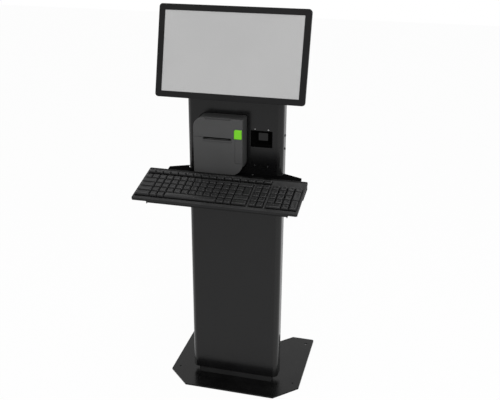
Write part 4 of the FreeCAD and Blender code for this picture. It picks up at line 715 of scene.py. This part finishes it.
sideScrews = dict(headShape, radius=3.6, height=2.2, socket=1.25)
sideSeats = [((s * 139.5, -72.0, z), (s, 0, 0)) for s in (-1, 1) for z in (785.0, 824.0)]
sideSeats += [((s * 118.0, -59.0, z), (0, 1, 0)) for s in (-1, 1) for z in (725.0, 880.0)]
sideSeats += [((s * 55.0, y, z), trayUp) for s in (-1, 1) for y, z in ((-110.73, 711.38), (-228.32, 693.09))]
newPiece("head_panel_screws", *screwHeads(sideSeats, sideScrews), blackSteel, "stand", "black_screws",
         "panel_screws")

mountScrews = dict(headShape, radius=4.6, height=3.0, socket=1.6)
mountSeats = [((s * x, -105.5, z), forward) for s in (-1, 1)
              for x, z in ((44.0, 959.0), (44.0, 1011.0), (55.0, 652.0), (55.0, 688.0))]
newPiece("head_bracket_screws", *screwHeads(mountSeats, mountScrews), blackSteel, "stand", "black_screws",
         "bracket_screws")

panelScrews = dict(headShape, radius=3.6, height=2.2, socket=1.25)
panelSeats = [((s * 37.5, y, z), displayBack) for s in (-1, 1)
              for y, z in ((-124.98, 961.31), (-105.57, 1033.75))]
newPiece("head_vesa_screws", *screwHeads(panelSeats, panelScrews), blackSteel, "stand", "black_screws",
         "vesa_screws")

readerScrews = dict(headShape, radius=2.8, height=1.9, socket=1.0)
upperSeats = [((x, -102.5, 845.0), forward) for x in (58.85, 97.35)]
lowerSeats = [((x, -102.5, 737.0), forward) for x in (58.85, 97.35)]
newPiece("head_reader_screws", *screwHeads(upperSeats, readerScrews), brightSteel, "stand", "bright_screws",
         "reader_screws")
# the lower pair is given the black screws' finish instead of bright steel, as painted shade below the reader
newPiece("head_lower_screws", *screwHeads(lowerSeats, readerScrews), blackSteel, "stand", "black_screws",
         "reader_screws")
print("screw heads made")


def coverGlass(look):
    # a flat slab as a stack of rounded rectangles, each an inset and a height towards the viewer, leaning as
    # the display does: y = y0 - out * cos(lean) + up * sin(lean), z = z0 + out * sin(lean) + up * cos(lean);
    # it ends a hair in front of the picture panel, so the two never share a surface
    rings = look["rings"]
    inset, out = np.array(rings).T[:, :, None]
    sx, sy, ax, ay, slide, corner = roundedRing()
    x = sx * (look["width"] / 2 - inset - look["corner"]) + look["corner"] * ax
    up = sy * (look["height"] / 2 - inset - look["corner"]) + look["corner"] * ay
    x = x + (np.where(corner % 2 == 0, -x, x) - x) * slide
    up = up + (np.where(corner % 2 == 1, -up, up) - up) * slide
    x, up = np.append(x, [0.0, 0.0]), np.append(up, [0.0, 0.0])
    out = np.append(np.broadcast_to(out, (len(rings), len(sx))), [rings[0][1], rings[-1][1]])
    lean, (y0, z0) = math.radians(look["lean"]), look["centre"]
    points = np.stack([x, y0 - out * math.cos(lean) + up * math.sin(lean),
                       z0 + out * math.sin(lean) + up * math.cos(lean)], -1) * mm
    return shell(points, len(rings), len(sx), 1)


glassSlab = {"width": 391.4, "height": 224.4, "corner": 1.7, "lean": 15.0, "centre": (-137.3, 1058.3),
             "rings": [(1.5, -3.45), (0.3, -3.45), (0.0, -3.2), (0.0, -1.85), (0.3, -1.6), (1.5, -1.6)]}
newPiece("cover_glass", *coverGlass(glassSlab), clearGlass, "stand", "screen_glass", "touch_glass")
print("cover glass made")


def paperWeb(look):
    # a strip of one width carried along a line in the side view: off the roll, over the head, out to the slot
    line = np.array(look["line"]) * mm
    fine = np.linspace(0, 1, look["steps"])
    along = np.concatenate([[0], np.cumsum(np.linalg.norm(np.diff(line, axis=0), axis=1))])
    along /= along[-1]
    y, z = np.interp(fine, along, line[:, 0]), np.interp(fine, along, line[:, 1])
    columns = look["columns"]
    x = np.linspace(look["left"], look["right"], columns) * mm
    across, row = np.meshgrid(x, np.arange(look["steps"]))
    points = np.stack([across, y[row], z[row]], -1).reshape(-1, 3)
    i, j = np.meshgrid(np.arange(look["steps"] - 1), np.arange(columns - 1), indexing="ij")
    a = i * columns + j
    return points, np.stack([a, a + 1, a + columns + 1, a + columns], -1).reshape(-1, 4).tolist()


web = {"left": -77.2, "right": 1.9, "columns": 5, "steps": 30, "thick": 0.07,
       "line": [(-71.0, 812.9), (-80.0, 814.6), (-105.0, 819.3), (-128.0, 823.9), (-131.0, 824.6)]}
webPiece = newPiece("paper_web", *paperWeb(web), paper, "stand", "paper")
thick = webPiece.modifiers.new("thickness", "SOLIDIFY")
thick.thickness, thick.offset = web["thick"] * mm, 0.0
print("paper web made")


# stage, light and camera

def stageFloor(look):
    # a pale floor that the camera and reflections see as the bright backdrop, with the shadow left in it
    bpy.ops.mesh.primitive_plane_add(size=look["size"], location=(0.0, 0.0, -look["below"]))
    floor = bpy.context.object
    floor.name = "studio_floor"
    material, tree = emptyMaterial("studioFloor")
    plain = addNode(tree, "BsdfDiffuse")
    paler, greyer = grey(look["pale"]), grey(look["pale"] * look["evenness"])
    feed(tree, plain.inputs[0], blendColour(tree, noise(tree, 2.0), paler, greyer))
    bright = addNode(tree, "Emission")
    bright.inputs[0].default_value = grey(1.0)
    path = addNode(tree, "LightPath")
    direct = sums(tree, "MAXIMUM", path.outputs["Is Camera Ray"], path.outputs["Is Transmission Ray"])
    seen = sums(tree, "MULTIPLY", direct, look["backdrop"])
    # the floor seen down the plate's anchor holes is in the dark: as the holes are in pairs, x is folded over
    spot = partsOf(tree, ownPlace(tree))
    folded = addNode(tree, "CombineXYZ")
    feed(tree, folded.inputs[0], sums(tree, "ABSOLUTE", spot["X"]))
    feed(tree, folded.inputs[1], spot["Y"])
    for centre in look["holes"]:
        away = addNode(tree, "VectorMath", operation="DISTANCE")
        feed(tree, away.inputs[0], folded.outputs[0])
        away.inputs[1].default_value = centre
        seen = sums(tree, "MULTIPLY", seen, sums(tree, "GREATER_THAN", away.outputs["Value"], look["shade"]))
    mirrored = sums(tree, "MULTIPLY", path.outputs["Is Glossy Ray"], look["mirror"])
    both = mixShaders(tree, sums(tree, "ADD", seen, mirrored, True), plain, bright)
    feed(tree, addNode(tree, "OutputMaterial").inputs[0], both)
    floor.data.materials.append(material)


floorLook = {"size": 14.0, "below": 0.0004, "pale": 0.8, "evenness": 0.99, "backdrop": 0.96, "mirror": 0.6,
             "holes": ((0.189, -0.0905, 0.0), (0.189, 0.147, 0.0)), "shade": 0.019}
stageFloor(floorLook)


def studioWorld(look):
    # one even light on the object, and a white backdrop for whatever looks straight or by mirror at the world
    world = bpy.data.worlds.new("studio")
    bpy.context.scene.world = world
    world.use_nodes = True
    tree = world.node_tree
    tree.nodes.clear()
    path = addNode(tree, "LightPath")
    seen = sums(tree, "MAXIMUM", path.outputs["Is Camera Ray"], path.outputs["Is Glossy Ray"])
    seen = sums(tree, "MAXIMUM", seen, path.outputs["Is Transmission Ray"])
    lit = addNode(tree, "Background")
    lit.inputs[0].default_value = grey(1.0)
    lit.inputs[1].default_value = look["light"]
    backdrop = addNode(tree, "Background")
    backdrop.inputs[0].default_value = grey(1.0)
    feed(tree, addNode(tree, "OutputWorld").inputs[0], mixShaders(tree, seen, lit, backdrop))


worldLook = {"light": 0.55}
studioWorld(worldLook)


def softLamp(name, position, aim, size, power, mirrored):
    data = bpy.data.lights.new(name, "AREA")
    data.shape, data.size, data.energy = "DISK", size, power
    lamp = bpy.data.objects.new(name, data)
    lamp.location = position
    lamp.rotation_euler = (Vector(aim) - Vector(position)).to_track_quat("-Z", "Y").to_euler()
    lamp.visible_transmission = False       # the screen's glass lets lamp light in as shadow rays only
    lamp.visible_glossy = mirrored
    bpy.context.scene.collection.objects.link(lamp)


# each lamp's place, what it aims at, its size and power, and whether glossy surfaces mirror it
lamps = {"overhead": ((0.3, -0.9, 3.0), (0.0, -0.1, 0.7), 1.6, 36.0, True),
         "front": ((1.6, -2.6, 2.4), (0.0, 0.0, 0.7), 1.8, 32.0, False)}
for name, setting in lamps.items():
    softLamp(name, *setting)

camera = {"place": (0.5409, -2.1117, 1.4821), "pitch": -23.77, "turn": 15.0, "sensor": 36.0, "lens": 55.38,
          "shift": (0.0292, 0.0370), "clip": (0.05, 60.0)}
cameraData = bpy.data.cameras.new("camera")
cameraData.sensor_width, cameraData.lens = camera["sensor"], camera["lens"]
cameraData.shift_x, cameraData.shift_y = camera["shift"]
cameraData.clip_start, cameraData.clip_end = camera["clip"]
cameraObject = bpy.data.objects.new("camera", cameraData)
cameraObject.location = camera["place"]
cameraObject.rotation_euler = (math.radians(90.0 + camera["pitch"]), 0.0, math.radians(camera["turn"]))
bpy.context.scene.collection.objects.link(cameraObject)
bpy.context.scene.camera = cameraObject
bpy.context.scene.view_settings.view_transform = "Standard"
print("stage, light and camera set")

bpy.context.view_layer.update()
